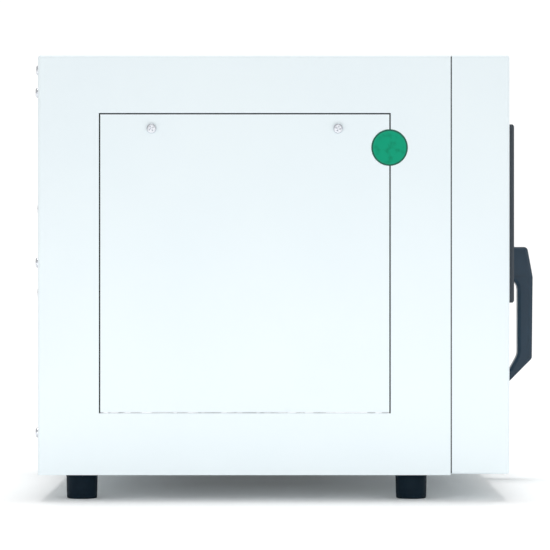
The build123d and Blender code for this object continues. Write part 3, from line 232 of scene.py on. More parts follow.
# %% Grain group
grain, into, out = new_group(
    "surface_grain",
    [("Scale", "Float", 900.0), ("Slow Scale", "Float", 14.0), ("Slow Share", "Float", 0.25),
     ("Roughness", "Float", 0.4), ("Spread", "Float", 0.1)],
    [("Height", "Float"), ("Roughness", "Float")],
)
place = put(grain, "TexCoord").outputs["Object"]
fine = put(grain, "TexNoise", {"Vector": place, "Scale": into["Scale"], "Detail": 3.0}).outputs["Fac"]
slow = put(grain, "TexNoise", {"Vector": place, "Scale": into["Slow Scale"], "Detail": 2.0})
slow = slow.outputs["Fac"]
blend = put(grain, "Mix", {"Factor": into["Slow Share"], "A": fine, "B": slow}, data_type="FLOAT")
grain.links.new(blend.outputs[0], out["Height"])
offset = math_node(grain, "SUBTRACT", slow, 0.5)
gloss = math_node(grain, "MULTIPLY_ADD", offset, into["Spread"], into["Roughness"])
grain.links.new(gloss, out["Roughness"])

# %% [markdown]
# ### Tone
# No painted or moulded surface has one exact colour. This group moves a colour a little darker
# and lighter in soft clouds, and can lay a second colour into the darkest of them.

# %% Tone group
tone, into, out = new_group(
    "tone_clouds",
    [("Color", "Color", (0.5, 0.5, 0.5, 1.0)), ("Second Color", "Color", (0.4, 0.4, 0.4, 1.0)),
     ("Scale", "Float", 20.0), ("Amount", "Float", 0.5), ("Low", "Float", 0.35),
     ("High", "Float", 0.65)],
    [("Color", "Color"), ("Mask", "Float")],
)
place = put(tone, "TexCoord").outputs["Object"]
cloud = put(tone, "TexNoise", {"Vector": place, "Scale": into["Scale"], "Detail": 4.0}).outputs["Fac"]
mask = put(tone, "MapRange", {"Value": cloud, "From Min": into["Low"], "From Max": into["High"]})
share = math_node(tone, "MULTIPLY", mask.outputs[0], into["Amount"])
mixed = put(tone, "Mix", {"Factor": share}, data_type="RGBA")
tone.links.new(into["Color"], mixed.inputs["A"])
tone.links.new(into["Second Color"], mixed.inputs["B"])
tone.links.new(mixed.outputs["Result"], out["Color"])
tone.links.new(share, out["Mask"])

# %% [markdown]
# ### Brushing
# A brushed sheet is scratched in one direction only. The trick is to squeeze the coordinates, so
# that each grain of noise becomes a long line. `Along` says how much each axis is squeezed.

# %% Brushing group
brushing, into, out = new_group(
    "brushed_lines",
    [("Along", "Vector", (4.0, 900.0, 900.0)), ("Roughness", "Float", 0.3), ("Spread", "Float", 0.25)],
    [("Height", "Float"), ("Roughness", "Float")],
)
place = put(brushing, "TexCoord").outputs["Object"]
squeezed = put(brushing, "VectorMath", {0: place, 1: into["Along"]}, operation="MULTIPLY").outputs[0]
lines = put(brushing, "TexNoise", {"Vector": squeezed, "Scale": 1.0, "Detail": 4.0}).outputs["Fac"]
brushing.links.new(lines, out["Height"])
offset = math_node(brushing, "SUBTRACT", lines, 0.5)
gloss = math_node(brushing, "MULTIPLY_ADD", offset, into["Spread"], into["Roughness"])
brushing.links.new(gloss, out["Roughness"])

# %% [markdown]
# ### Spangle
# Hot-dip zinc freezes into flat crystals, each with its own grey. Voronoi cells are that shape.

# %% Spangle group
spangle, into, out = new_group(
    "zinc_spangle",
    [("Color", "Color", (0.6, 0.62, 0.64, 1.0)), ("Dark Color", "Color", (0.42, 0.44, 0.46, 1.0)),
     ("Scale", "Float", 160.0), ("Roughness", "Float", 0.38), ("Spread", "Float", 0.16)],
    [("Color", "Color"), ("Roughness", "Float")],
)
place = put(spangle, "TexCoord").outputs["Object"]
cells = put(spangle, "TexVoronoi", {"Vector": place, "Scale": into["Scale"]}).outputs["Color"]
shade = put(spangle, "SeparateColor", {"Color": cells}).outputs["Red"]
mixed = put(spangle, "Mix", {"Factor": shade}, data_type="RGBA")
spangle.links.new(into["Color"], mixed.inputs["A"])
spangle.links.new(into["Dark Color"], mixed.inputs["B"])
spangle.links.new(mixed.outputs["Result"], out["Color"])
offset = math_node(spangle, "SUBTRACT", shade, 0.5)
gloss = math_node(spangle, "MULTIPLY_ADD", offset, into["Spread"], into["Roughness"])
spangle.links.new(gloss, out["Roughness"])
print("four shared effects:", [tree.name for tree in bpy.data.node_groups])

# %% [markdown]
# ## Finishes
# Every finish of the oven is one entry of a small catalogue, kept under the name that the parts
# list uses for it. A coating or a moulding needs a colour, a second colour for its clouds, a grain
# and a gloss, so one function makes them all. Numbers that are the same all over a surface are
# written on the shader itself.

# %% The catalogue and its first tool
finishes = {}


def new_finish(name, **constants):
    """An empty material with its shader. Constants go straight on the shader's sockets."""
    material = bpy.data.materials.new(name)
    material.use_nodes = True
    tree = material.node_tree
    shader = tree.nodes["Principled BSDF"]
    for label, value in constants.items():
        shader.inputs[label.replace("_", " ")].default_value = value
    finishes[name] = material
    return material, tree, shader


def use_group(tree, group, **values):
    """Places a shared effect in a material with its own values. Returns its outputs."""
    node = tree.nodes.new("ShaderNodeGroup")
    node.node_tree = group
    for label, value in values.items():
        node.inputs[label.replace("_", " ")].default_value = value
    return node.outputs


def raise_surface(tree, shader, height, depth, strength):
    """Turns a height into a bump on the shader."""
    bump = put(tree, "Bump", {"Height": height, "Distance": depth, "Strength": strength})
    tree.links.new(bump.outputs["Normal"], shader.inputs["Normal"])


def paint(r, g, b):
    """A colour with its alpha."""
    return (r, g, b, 1.0)


# %% Coatings and mouldings
def moulded(name, color, second, clouds=18.0, amount=0.5, scale=900.0, roughness=0.4, spread=0.1,
            depth=0.05 * MM, strength=0.3, **constants):
    """A painted, moulded or fired surface: clouds of tone, a grain, and a gloss that wanders."""
    material, tree, shader = new_finish(name, **constants)
    tones = use_group(tree, tone, Color=paint(*color), Second_Color=paint(*second), Scale=clouds,
                      Amount=amount)
    grains = use_group(tree, grain, Scale=scale, Roughness=roughness, Spread=spread)
    tree.links.new(tones["Color"], shader.inputs["Base Color"])
    tree.links.new(grains["Roughness"], shader.inputs["Roughness"])
    raise_surface(tree, shader, grains["Height"], depth, strength)
    return material


moulded("case_paint", (0.815, 0.895, 0.925), (0.79, 0.875, 0.915), clouds=9.0, scale=700.0,
        roughness=0.42, depth=0.03 * MM, strength=0.12)
moulded("panel_grey", (0.030, 0.042, 0.055), (0.023, 0.034, 0.046), scale=1400.0, roughness=0.46,
        depth=0.06 * MM, strength=0.35, Specular_IOR_Level=0.4)
moulded("handle_black", (0.010, 0.034, 0.061), (0.006, 0.024, 0.045), scale=1300.0, roughness=0.36,
        depth=0.06 * MM, strength=0.30, Specular_IOR_Level=0.35)
moulded("black_rubber", (0.002, 0.010, 0.019), (0.004, 0.015, 0.026), clouds=60.0, scale=1100.0,
        roughness=0.60, depth=0.08 * MM, strength=0.35, Specular_IOR_Level=0.12)
# Near-black finish of the strips that sit in the gaps as painted shade.
moulded("painted_gap_shade", (0.006, 0.007, 0.008), (0.012, 0.013, 0.014), clouds=300.0, scale=2500.0,
        roughness=0.95, Specular_IOR_Level=0.1)
moulded("black_plastic", (0.014, 0.014, 0.016), (0.022, 0.022, 0.024), scale=1200.0, roughness=0.44,
        depth=0.05 * MM, strength=0.3)
moulded("relay_black", (0.018, 0.018, 0.020), (0.028, 0.027, 0.027), scale=1500.0, roughness=0.5)
moulded("white_ceramic", (0.80, 0.77, 0.70), (0.68, 0.63, 0.55), clouds=120.0, scale=1600.0, roughness=0.55)
moulded("key_grey", (0.30, 0.33, 0.36), (0.25, 0.28, 0.31), scale=1200.0, roughness=0.36)
moulded("key_green", (0.020, 0.290, 0.140), (0.015, 0.235, 0.112), scale=1200.0, roughness=0.34)
print(len(finishes), "coatings and mouldings")

# %% [markdown]
# ### Metals
# A metal has no colour of its own apart from its reflection, so it is told by its scratches. The
# sheet parts are brushed along their length, turned parts have rings, and zinc plate is a bright
# skin with a fine grain. Heat browns the inside of the chamber a little, in slow clouds.


# %% Metal finishes
def metal(name, color, second, clouds, amount, along, roughness, spread):
    """A bare metal with brushing lines and clouds of tarnish."""
    material, tree, shader = new_finish(name, Metallic=1.0)
    tones = use_group(tree, tone, Color=paint(*color), Second_Color=paint(*second), Scale=clouds,
                      Amount=amount)
    brushed = use_group(tree, brushing, Along=along, Roughness=roughness, Spread=spread)
    tree.links.new(tones["Color"], shader.inputs["Base Color"])
    tree.links.new(brushed["Roughness"], shader.inputs["Roughness"])
    raise_surface(tree, shader, brushed["Height"], 0.02 * MM, 0.25)
    return material


metal("stainless", (0.66, 0.64, 0.61), (0.60, 0.52, 0.42), 8.0, 0.45, (700.0, 9.0, 700.0), 0.30, 0.25)
metal("aluminium", (0.74, 0.75, 0.77), (0.66, 0.67, 0.70), 30.0, 0.5, (900.0, 14.0, 900.0), 0.34, 0.22)
metal("zinc_screw", (0.70, 0.72, 0.75), (0.58, 0.60, 0.66), 400.0, 0.6, (900.0, 900.0, 900.0), 0.27, 0.2)
metal("motor_steel", (0.50, 0.51, 0.52), (0.42, 0.41, 0.40), 30.0, 0.6, (300.0, 1500.0, 300.0), 0.42, 0.2)
metal("shaft_steel", (0.58, 0.58, 0.59), (0.50, 0.49, 0.48), 60.0, 0.5, (300.0, 2500.0, 300.0), 0.24, 0.2)
metal("wire_chrome", (0.72, 0.73, 0.75), (0.60, 0.60, 0.60), 80.0, 0.5, (500.0, 500.0, 500.0), 0.22, 0.2)
metal("heater_wire", (0.36, 0.33, 0.31), (0.26, 0.21, 0.18), 300.0, 0.7, (900.0, 900.0, 900.0), 0.45, 0.2)
metal("inlet_brass", (0.72, 0.62, 0.42), (0.60, 0.50, 0.32), 300.0, 0.5, (300.0, 1800.0, 300.0), 0.3, 0.2)

material, tree, shader = new_finish("galvanised_steel", Metallic=0.9)
crystals = use_group(tree, spangle, Scale=170.0)
tree.links.new(crystals["Color"], shader.inputs["Base Color"])
tree.links.new(crystals["Roughness"], shader.inputs["Roughness"])
print(len(finishes), "finishes with the metals")

# %% [markdown]
# ### Glass, quartz and lens plastic
# Clear materials keep a plain transmission, and get their life from a roughness that wanders by a
# hair. The window's outer pane is tinted, the heater tubes are slightly milky.


# %% Clear finishes
def clear(name, color, roughness, spread, ior=1.5, transmission=1.0):
    """Glass of one tint: its gloss wanders a little, as on a wiped pane."""
    material, tree, shader = new_finish(name, Transmission_Weight=transmission, IOR=ior)
    deeper = [0.94 * c for c in color]
    tones = use_group(tree, tone, Color=paint(*color), Second_Color=paint(*deeper), Scale=12.0)
    grains = use_group(tree, grain, Scale=60.0, Slow_Scale=9.0, Roughness=roughness, Spread=spread)
    tree.links.new(tones["Color"], shader.inputs["Base Color"])
    tree.links.new(grains["Roughness"], shader.inputs["Roughness"])
    return material


clear("tinted_glass", (0.58, 0.62, 0.64), 0.02, 0.03)
clear("clear_glass", (0.93, 0.96, 0.95), 0.02, 0.03)
clear("quartz", (0.93, 0.92, 0.89), 0.18, 0.10, ior=1.46, transmission=0.9)
clear("lens_plastic", (0.52, 0.56, 0.60), 0.05, 0.04, ior=1.49)
print(len(finishes), "finishes with the clear ones")

# %% [markdown]
# ### Fibre board, rope, circuit board and the lit display
# The board round the chamber is pressed ceramic fibre, so its surface is a tangle of short lines.
# The door rope is knitted from glass yarn. The circuit board is a solder mask with tracks that
# shine through as a slightly lighter green, and the display glows from behind.


# %% Fibre finishes
def fibrous(name, color, second, across, depth):
    """Two crossed sets of short lines over a matt body."""
    material, tree, shader = new_finish(name, Specular_IOR_Level=0.2, Sheen_Weight=0.3)
    tones = use_group(tree, tone, Color=paint(*color), Second_Color=paint(*second), Scale=70.0,
                      Amount=0.8)
    first = use_group(tree, brushing, Along=(across, 60.0, across), Roughness=0.85, Spread=0.1)
    crossed = use_group(tree, brushing, Along=(60.0, across, 90.0), Roughness=0.85, Spread=0.1)
    height = math_node(tree, "ADD", first["Height"], crossed["Height"])
    tree.links.new(tones["Color"], shader.inputs["Base Color"])
    tree.links.new(first["Roughness"], shader.inputs["Roughness"])
    raise_surface(tree, shader, height, depth, 0.6)
    return material


fibrous("fibre_board", (0.74, 0.70, 0.60), (0.62, 0.57, 0.46), 700.0, 0.3 * MM)
fibrous("fibre_rope", (0.80, 0.79, 0.75), (0.66, 0.64, 0.58), 900.0, 0.25 * MM)
print(len(finishes), "finishes with the fibres")

# %% Circuit board and display
material, tree, shader = new_finish("circuit_board", Coat_Weight=0.3)
place = put(tree, "TexCoord").outputs["Object"]
tracks = put(tree, "TexBrick", {
    "Vector": place, "Scale": 260.0, "Mortar Size": 0.06, "Mortar": paint(0.05, 0.26, 0.11),
    "Color1": paint(0.012, 0.12, 0.045), "Color2": paint(0.016, 0.14, 0.052),
})
tree.links.new(tracks.outputs["Color"], shader.inputs["Base Color"])
grains = use_group(tree, grain, Roughness=0.35, Spread=0.15)
tree.links.new(grains["Roughness"], shader.inputs["Roughness"])

moulded("lcd_glass", (0.014, 0.022, 0.030), (0.020, 0.030, 0.040), scale=300.0, roughness=0.22,
        depth=0.01 * MM)


def glowing(name, color, strength):
    """Ink on the display that lights up from behind, a little unevenly."""
    material, tree, shader = new_finish(name, Emission_Strength=strength, Roughness=0.4)
    deeper = [0.8 * c for c in color]
    tones = use_group(tree, tone, Color=paint(*color), Second_Color=paint(*deeper), Scale=90.0)
    tree.links.new(tones["Color"], shader.inputs["Base Color"])
    tree.links.new(tones["Color"], shader.inputs["Emission Color"])
    return material


glowing("display_curve", (0.10, 0.75, 0.95), 1.1)
glowing("display_limit", (0.95, 0.46, 0.08), 1.6)
glowing("display_grid", (0.26, 0.36, 0.46), 1.0)
moulded("printed_mark", (0.78, 0.80, 0.82), (0.70, 0.72, 0.75), scale=1500.0, roughness=0.5)
print(len(finishes), "finishes in all")

# %% [markdown]
# ### Seal foil
# The inspection seal is printed foil. Its colour follows the distance from its own centre, with a
# darker printed rim, a paler ring inside it, and soft dark blotches where the ink is thicker. A
# little noise on the distance keeps the edges of the rings from being perfect circles.

# %% Seal finish
seal_low, seal_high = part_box("qc_seal")
seal_centre = (seal_low + seal_high) / 2
seal_radius = (seal_high.y - seal_low.y) / 2
material, tree, shader = new_finish("seal_green", Specular_IOR_Level=0.10)
place = put(tree, "TexCoord").outputs["Object"]
from_centre = put(tree, "VectorMath", {0: place, 1: seal_centre}, operation="DISTANCE").outputs["Value"]
wobble = put(tree, "TexNoise", {"Vector": place, "Scale": 260.0, "Detail": 2.0}).outputs["Fac"]
wobble_width = 0.5 * MM
edge_place = math_node(tree, "MULTIPLY_ADD", wobble, wobble_width, from_centre)
rim_start = 0.885 * seal_radius + wobble_width / 2
rim_full = 0.925 * seal_radius + wobble_width / 2
rim_mask = put(tree, "MapRange", {"Value": edge_place, "From Min": rim_start, "From Max": rim_full})
ring_start = 0.80 * seal_radius
ring_full = 0.93 * seal_radius
ring_mask = put(tree, "MapRange", {"Value": edge_place, "From Min": ring_start, "From Max": ring_full,
                                   "To Max": 0.28})
blotch = use_group(tree, tone, Color=paint(0.002, 0.325, 0.180), Second_Color=paint(0.001, 0.215, 0.105),
                   Scale=190.0, Amount=0.75, Low=0.50, High=0.74)
pale = put(tree, "Mix", {"Factor": ring_mask.outputs[0]}, data_type="RGBA")
tree.links.new(blotch["Color"], pale.inputs["A"])
pale.inputs["B"].default_value = paint(0.020, 0.400, 0.230)
rimmed = put(tree, "Mix", {"Factor": rim_mask.outputs[0]}, data_type="RGBA")
tree.links.new(pale.outputs["Result"], rimmed.inputs["A"])
rimmed.inputs["B"].default_value = paint(0.016, 0.125, 0.082)
tree.links.new(rimmed.outputs["Result"], shader.inputs["Base Color"])
grains = use_group(tree, grain, Scale=500.0, Slow_Scale=90.0, Slow_Share=0.7, Roughness=0.38, Spread=0.2)
tree.links.new(grains["Roughness"], shader.inputs["Roughness"])
raise_surface(tree, shader, grains["Height"], 0.05 * MM, 0.4)
print("seal of", round(2 * seal_radius / MM, 1), "mm, dark rim from", round(rim_start / MM, 1), "mm out")

# %% [markdown]
# ## Dressing the finished parts
# Most parts already have their right shape: folded sheet is flat, and a bend is a bend. Those only
# need their finish. The parts list says which finish each one takes, so one loop dresses them all.

# %% Give every part its finish
for node, part in frame["nodes"].items():
    for material_slot in part.material_slots:
        material_slot.material = finishes[slot_of[node]]
print(len(frame["nodes"]), "parts dressed")

# %% [markdown]
# ## Tools for new pieces
# The remaining pieces are rebuilt. Each starts as a simple operator shape in a bmesh and is
# turned, extruded, bevelled or spun into form. `show` then makes it an object at the origin,
# smooths its gentle edges, keeps its sharp ones, and hangs it on the body that it moves with.
#
# Two tools do most of the work. `turned` is a lathe: it spins an outline about an axis. `wire` is a
# wire bender: it pulls a small ring from point to point. Where a part is really many loose pieces,
# such as all the screws of the case, `solids_of` finds the place of each.


# %% Finish a piece
def show(name, bm, body, finish, stands_for=(), smooth=35):
    """Turns a bmesh into a shown piece that rides on a body."""
    bmesh.ops.recalc_face_normals(bm, faces=bm.faces)
    mesh = bpy.data.meshes.new(name)
    bm.to_mesh(mesh)
    bm.free()
    mesh.shade_smooth()
    mesh.set_sharp_from_angle(angle=radians(smooth))
    mesh.materials.append(finishes[finish])
    piece = bpy.data.objects.new(name, mesh)
    scene.collection.objects.link(piece)
    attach(piece, body)
    if stands_for:
        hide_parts(*stands_for)
    print(name, len(mesh.polygons), "faces")
    return piece


# %% Place, choose, cut and stamp
def move(bm, verts, matrix):
    """Puts the chosen points through a transform."""
    bmesh.ops.transform(bm, matrix=matrix, verts=verts)


def facing(origin, outward, turn=0.0):
    """Takes a piece modelled on the XY plane to a place, with its +Z pointing outward."""
    aimed = Vector(outward).to_track_quat("Z", "Y").to_matrix().to_4x4()
    return Matrix.Translation(origin) @ aimed @ Matrix.Rotation(turn, 4, "Z")


def points_of(made):
    """The points among the things that an operator has made."""
    return [v for v in made if isinstance(v, bmesh.types.BMVert)]


def edges_of(made):
    """The edges among the things that an operator has made."""
    return [e for e in made if isinstance(e, bmesh.types.BMEdge)]


def soften_edges(bm, edges, width, segments=1, **settings):
    """Bevels some edges. The operator's own defaults differ from the editor's, so all are given."""
    bmesh.ops.bevel(bm, geom=edges, offset=width, offset_type="OFFSET", affect="EDGES",
                    segments=segments, profile=0.5, material=-1, **settings)


def block(bm, size, middle):
    """Adds a box of some size round a middle."""
    made = bmesh.ops.create_cube(bm, size=1.0)["verts"]
    bmesh.ops.scale(bm, vec=size, verts=made)
    bmesh.ops.translate(bm, vec=middle, verts=made)


def stamp(bm, pattern, matrix):
    """Adds one placed copy of a pattern mesh."""
    before = len(bm.verts)
    bm.from_mesh(pattern)
    bm.verts.ensure_lookup_table()
    move(bm, bm.verts[before:], matrix)


def kept(bm, name):
    """Keeps a bmesh as a pattern to stamp."""
    mesh = bpy.data.meshes.new(name)
    bm.to_mesh(mesh)
    bm.free()
    return mesh


# %% The lathe and the wire bender
def turned(bm, profile, steps):
    """Spins a (radius, height) outline about Z, as on a lathe. Returns the new points."""
    before = len(bm.verts)
    chain = [bm.verts.new((radius, 0.0, height)) for radius, height in profile]
    edges = [bm.edges.new(pair) for pair in zip(chain, chain[1:])]
    bmesh.ops.spin(bm, geom=chain + edges, axis=(0, 0, 1), cent=(0, 0, 0), dvec=(0, 0, 0), angle=tau,
                   steps=steps, use_merge=True, use_duplicate=False)
    bm.verts.ensure_lookup_table()
    fresh = bm.verts[before:]
    bmesh.ops.remove_doubles(bm, verts=fresh, dist=1e-7)
    bm.verts.ensure_lookup_table()
    return bm.verts[before:]


def open_edges(points):
    """The boundary edges at some points, each once and in a fixed order."""
    return list(dict.fromkeys(edge for point in points for edge in point.link_edges if edge.is_boundary))


def wire(bm, points, radius, sides=8, closed=False):
    """A round wire along a row of points: one ring, extruded from point to point."""
    points = [Vector(p) for p in points]
    count = len(points)
    rings = []
    up = None
    for i, point in enumerate(points):
        ahead = points[(i + 1) % count] if closed or i < count - 1 else point
        behind = points[i - 1] if closed or i > 0 else point
        along = (ahead - behind).normalized()
        side = along.orthogonal() if up is None else up - up.dot(along) * along
        up = side.normalized()
        across = along.cross(up)
        if i == 0:
            ring = bmesh.ops.create_circle(bm, segments=sides, radius=radius)["verts"]
            first = list(ring)
        else:
            loop = list(dict.fromkeys(e for v in ring for e in v.link_edges if e.other_vert(v) in ring))
            made = bmesh.ops.extrude_edge_only(bm, edges=loop)["geom"]
            partner = {}
            for v in points_of(made):
                for edge in v.link_edges:
                    if edge.other_vert(v) in ring:
                        partner[edge.other_vert(v)] = v
            ring = [partner[v] for v in ring]
        for k, v in enumerate(ring):
            turn = tau * k / sides
            v.co = point + radius * (cos(turn) * up + sin(turn) * across)
        rings.append(ring)
    if closed:
        bmesh.ops.bridge_loops(bm, edges=open_edges(first + ring))
    else:
        bmesh.ops.holes_fill(bm, edges=open_edges(first + ring), sides=sides)
    return rings


# %% Find the separate solids of a part
def solids_of(node):
    """The boxes of a part's solids, in a fixed order. Loose triangles are welded in a copy first."""
    bm = bmesh.new()
    bm.from_mesh(frame["nodes"][node].data)
    bmesh.ops.remove_doubles(bm, verts=bm.verts, dist=1e-6)
    bm.verts.ensure_lookup_table()
    seen = [False] * len(bm.verts)
    boxes = []
    for start in bm.verts:
        if seen[start.index]:
            continue
        seen[start.index] = True
        waiting, found = [start], []
        while waiting:
            point = waiting.pop()
            found.append(point.co.copy())
            for edge in point.link_edges:
                other = edge.other_vert(point)
                if not seen[other.index]:
                    seen[other.index] = True
                    waiting.append(other)
        low = Vector([min(p[k] for p in found) for k in range(3)])
        high = Vector([max(p[k] for p in found) for k in range(3)])
        boxes.append((low, high))
    bm.free()
    boxes.sort(key=lambda pair: tuple(round(c, 5) for c in pair[0]))
    return boxes


print("case screws:", len(solids_of("case_screws")), "solids in one part")

# %% [markdown]
# ## Pan-head screws
# A pan head is a low dome with straight sides and a cross recess that narrows as it goes down.
# The dome is turned like on a lathe. The cross is an outline of twelve corners, sunk into the top,
# and the ring left between the cross and the dome is closed by bridging the two loops. One screw
# is modelled, then stamped at every screw of the case, each turned to its own angle as hands leave
# it. The rear fittings are held by a low-head screw, so nothing stands far out of the back.

# %% One pan-head screw
head_radius = 4.2 * MM
head_height = 2.4 * MM
shank_radius = 2.0 * MM
shank_length = 8.0 * MM
arm_reach = 0.56
arm_half = 0.13
recess_taper = 0.55
recess_depth = 0.55


def pan_head(radius, height, shank, length, steps=24):
    """A pan-head screw with its seat on the XY plane and its head above."""
    bm = bmesh.new()
    dome = [(0.66, 1.0), (0.80, 0.94), (0.91, 0.80), (0.98, 0.60), (1.0, 0.38), (1.0, 0.06),
            (0.97, 0.0)]
    profile = [(r * radius, h * height) for r, h in dome]
    profile += [(shank, 0.0), (shank, -0.85 * length), (0.6 * shank, -length)]
    turned(bm, profile, steps)
    tip = [e for e in bm.edges if e.is_boundary and e.verts[0].co.z < -0.5 * length]
    bmesh.ops.holes_fill(bm, edges=tip, sides=steps)
    long = arm_reach * radius
    thin = arm_half * radius
    arm = [Vector((long, -thin, height)), Vector((long, thin, height)), Vector((thin, thin, height))]
    corners = []
    for quarter in range(4):
        turn = Matrix.Rotation(quarter * pi / 2, 3, "Z")
        corners += [turn @ corner for corner in arm]
    cross = [bm.verts.new(p) for p in corners]
    loop = [bm.edges.new((cross[i], cross[(i + 1) % len(cross)])) for i in range(len(cross))]
    halves = bmesh.ops.subdivide_edges(bm, edges=loop, cuts=1)["geom_split"]
    loop = edges_of(halves)
    brim = [e for e in bm.edges if e.is_boundary and e.link_faces and e.verts[0].co.z > 0.5 * height]
    bmesh.ops.bridge_loops(bm, edges=brim + loop)
    made = bmesh.ops.extrude_edge_only(bm, edges=loop)["geom"]
    bottom = points_of(made)
    bmesh.ops.scale(bm, vec=(recess_taper, recess_taper, 1.0), verts=bottom)
    bmesh.ops.translate(bm, vec=(0, 0, -recess_depth * height), verts=bottom)
    floor_edges = [e for e in edges_of(made) if e.is_boundary]
    bmesh.ops.holes_fill(bm, edges=floor_edges, sides=len(bottom))
    bmesh.ops.recalc_face_normals(bm, faces=bm.faces)
    return kept(bm, "pan_head")


low_head_height = 0.55 * head_height
screw_pattern = pan_head(head_radius, head_height, shank_radius, shank_length)
low_screw_pattern = pan_head(head_radius, low_head_height, shank_radius, shank_length)
print("screw of", len(screw_pattern.polygons), "faces")

# %% Every case screw
first_turn = 26
turn_step = 47
bm = bmesh.new()
for count, (low, high) in enumerate(solids_of("case_screws"), start=1):
    middle = (low + high) / 2
    pattern = screw_pattern
    if high.x - low.x > high.y - low.y:
        seat = Vector((low.x + head_height, middle.y, middle.z))
        outward = (-1, 0, 0)
    else:
        seat = Vector((middle.x, high.y - head_height, middle.z))
        outward = (0, 1, 0)
        if seat.y > y_rear + 0.1 * MM:
            pattern = low_screw_pattern
    stamp(bm, pattern, facing(seat, outward, radians(first_turn + turn_step * count)))
show("screws_of_case", bm, "root", "zinc_screw", ["case_screws"], smooth=32)

# %% [markdown]
# ## Handle
# The drawer's handle is a nylon bridge with flat facets. Its side outline is the whole design: a
# deep flat-topped block, a knee, a straight bar, and a lower leg that returns at about 45 degrees.
# We draw that outline in millimetres of reach and height, round its corners in the flat and extrude
# it to its width. A broad bevel of one step cuts the long facets. Below the block the bar is cut
# across and drawn in a little, which leaves the slanted band between them, and a very small bevel
# modifier softens every edge.

# %% Handle
handle_low, handle_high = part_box("handle")
x_handle = (handle_low.x + handle_high.x) / 2
y_handle_root = handle_high.y
handle_half = (handle_high.x - handle_low.x) / 2
handle_outline = [
    (0.0, 0.0), (43.2, 43.0), (44.0, 119.5), (38.7, 148.0), (0.0, 148.0),
    (0.0, 118.0), (29.8, 118.0), (29.8, 46.4), (22.0, 32.0), (6.0, 18.0), (0.0, 18.0),
]
corner_rounds = {1: 1.6, 3: 3.0, 6: 10.0, 7: 3.0, 8: 3.0}
elbow_cut = 46.0
band_low = 120.0
band_high = 126.0
bar_draw_in = 0.86
facet = 2.7 * MM
edge_softness = 0.45 * MM

bm = bmesh.new()
outline = [bm.verts.new((x_handle - handle_half, y_handle_root - reach * MM, handle_low.z + height * MM))
           for reach, height in handle_outline]
bm.faces.new(outline)
for index, radius in sorted(corner_rounds.items(), reverse=True):
    bmesh.ops.bevel(bm, geom=[outline[index]], offset=radius * MM, offset_type="OFFSET",
                    affect="VERTICES", segments=5, profile=0.5, material=-1)
side = bmesh.ops.extrude_face_region(bm, geom=bm.faces[:], use_keep_orig=True)["geom"]
bmesh.ops.translate(bm, vec=(2 * handle_half, 0, 0), verts=points_of(side))
bmesh.ops.recalc_face_normals(bm, faces=bm.faces)
long_edges = []
for edge in bm.edges:
    flats = [abs(face.normal.x) > 0.7 for face in edge.link_faces]
    if flats[0] != flats[1] and max(v.co.y for v in edge.verts) < y_handle_root - 1 * MM:
        long_edges.append(edge)
soften_edges(bm, long_edges, facet, clamp_overlap=True)
for height in (elbow_cut, band_low, band_high):
    bmesh.ops.bisect_plane(bm, geom=bm.verts[:] + bm.edges[:] + bm.faces[:],
                           plane_co=(0, 0, handle_low.z + height * MM), plane_no=(0, 0, 1))
for v in bm.verts:
    if v.co.z < handle_low.z + (band_low + 0.1) * MM:
        v.co.x = x_handle + (v.co.x - x_handle) * bar_draw_in
handle = show("handle_moulding", bm, "drawer", "handle_black", ["handle"], smooth=24)
soften = handle.modifiers.new("soften", "BEVEL")
soften.width = edge_softness
soften.segments = 2
soften.limit_method = "ANGLE"
soften.angle_limit = radians(18)

# %% [markdown]
# ## Painted gap shade
# The service cover lies on a ledge. Thin black strips lie on that ledge as painted shade. Only a
# line of them shows, at the bottom of the gap, and it makes that gap read as a dark, even joint.
# They run down both sides and along the top. Below, the cover hangs on its hooks and rests on bare
# metal. The joint between the front frame and the cover of the case has the same painted shade on
# its two sides and along its top.

# %% Painted gap shade strips
gap = 1.2 * MM
strip_thick = 0.25 * MM
ledge_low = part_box("access_frame")[0]
lip_low, lip_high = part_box("front_frame")
opening_y = (access_low.y - gap, access_high.y + gap)
opening_z = (access_low.z - gap, access_high.z + gap)
ledge_x = (ledge_low.x - strip_thick, ledge_low.x)
seam_y = (front_high.y, case_low.y)
seam_z = (lip_low.z, lip_high.z)
# Each strip is a black block at the bottom of a gap: painted shade where the gap is dark.
strips = [
    (ledge_x, (opening_y[0], opening_y[0] + gap), opening_z),
    (ledge_x, (opening_y[1] - gap, opening_y[1]), opening_z),
    (ledge_x, (opening_y[0] + gap, opening_y[1] - gap), (opening_z[1] - gap, opening_z[1])),
    ((lip_low.x - strip_thick, lip_low.x), seam_y, seam_z),
    ((lip_high.x, lip_high.x + strip_thick), seam_y, seam_z),
    ((lip_low.x, lip_high.x), seam_y, (lip_high.z, lip_high.z + strip_thick)),
]
bm = bmesh.new()
for spans in strips:
    block(bm, [span[1] - span[0] for span in spans], [sum(span) / 2 for span in spans])
show("gap_shade_strips", bm, "root", "painted_gap_shade")

# %% [markdown]
# ## Inspection seal
# A round foil sticker lies half on the wall and half on the service cover, so that opening the
# cover breaks it. It is thin, it dips a hair where it spans the gap, and its foil is not quite
# flat. A disc of rings gives enough points for the dip and the ripples.

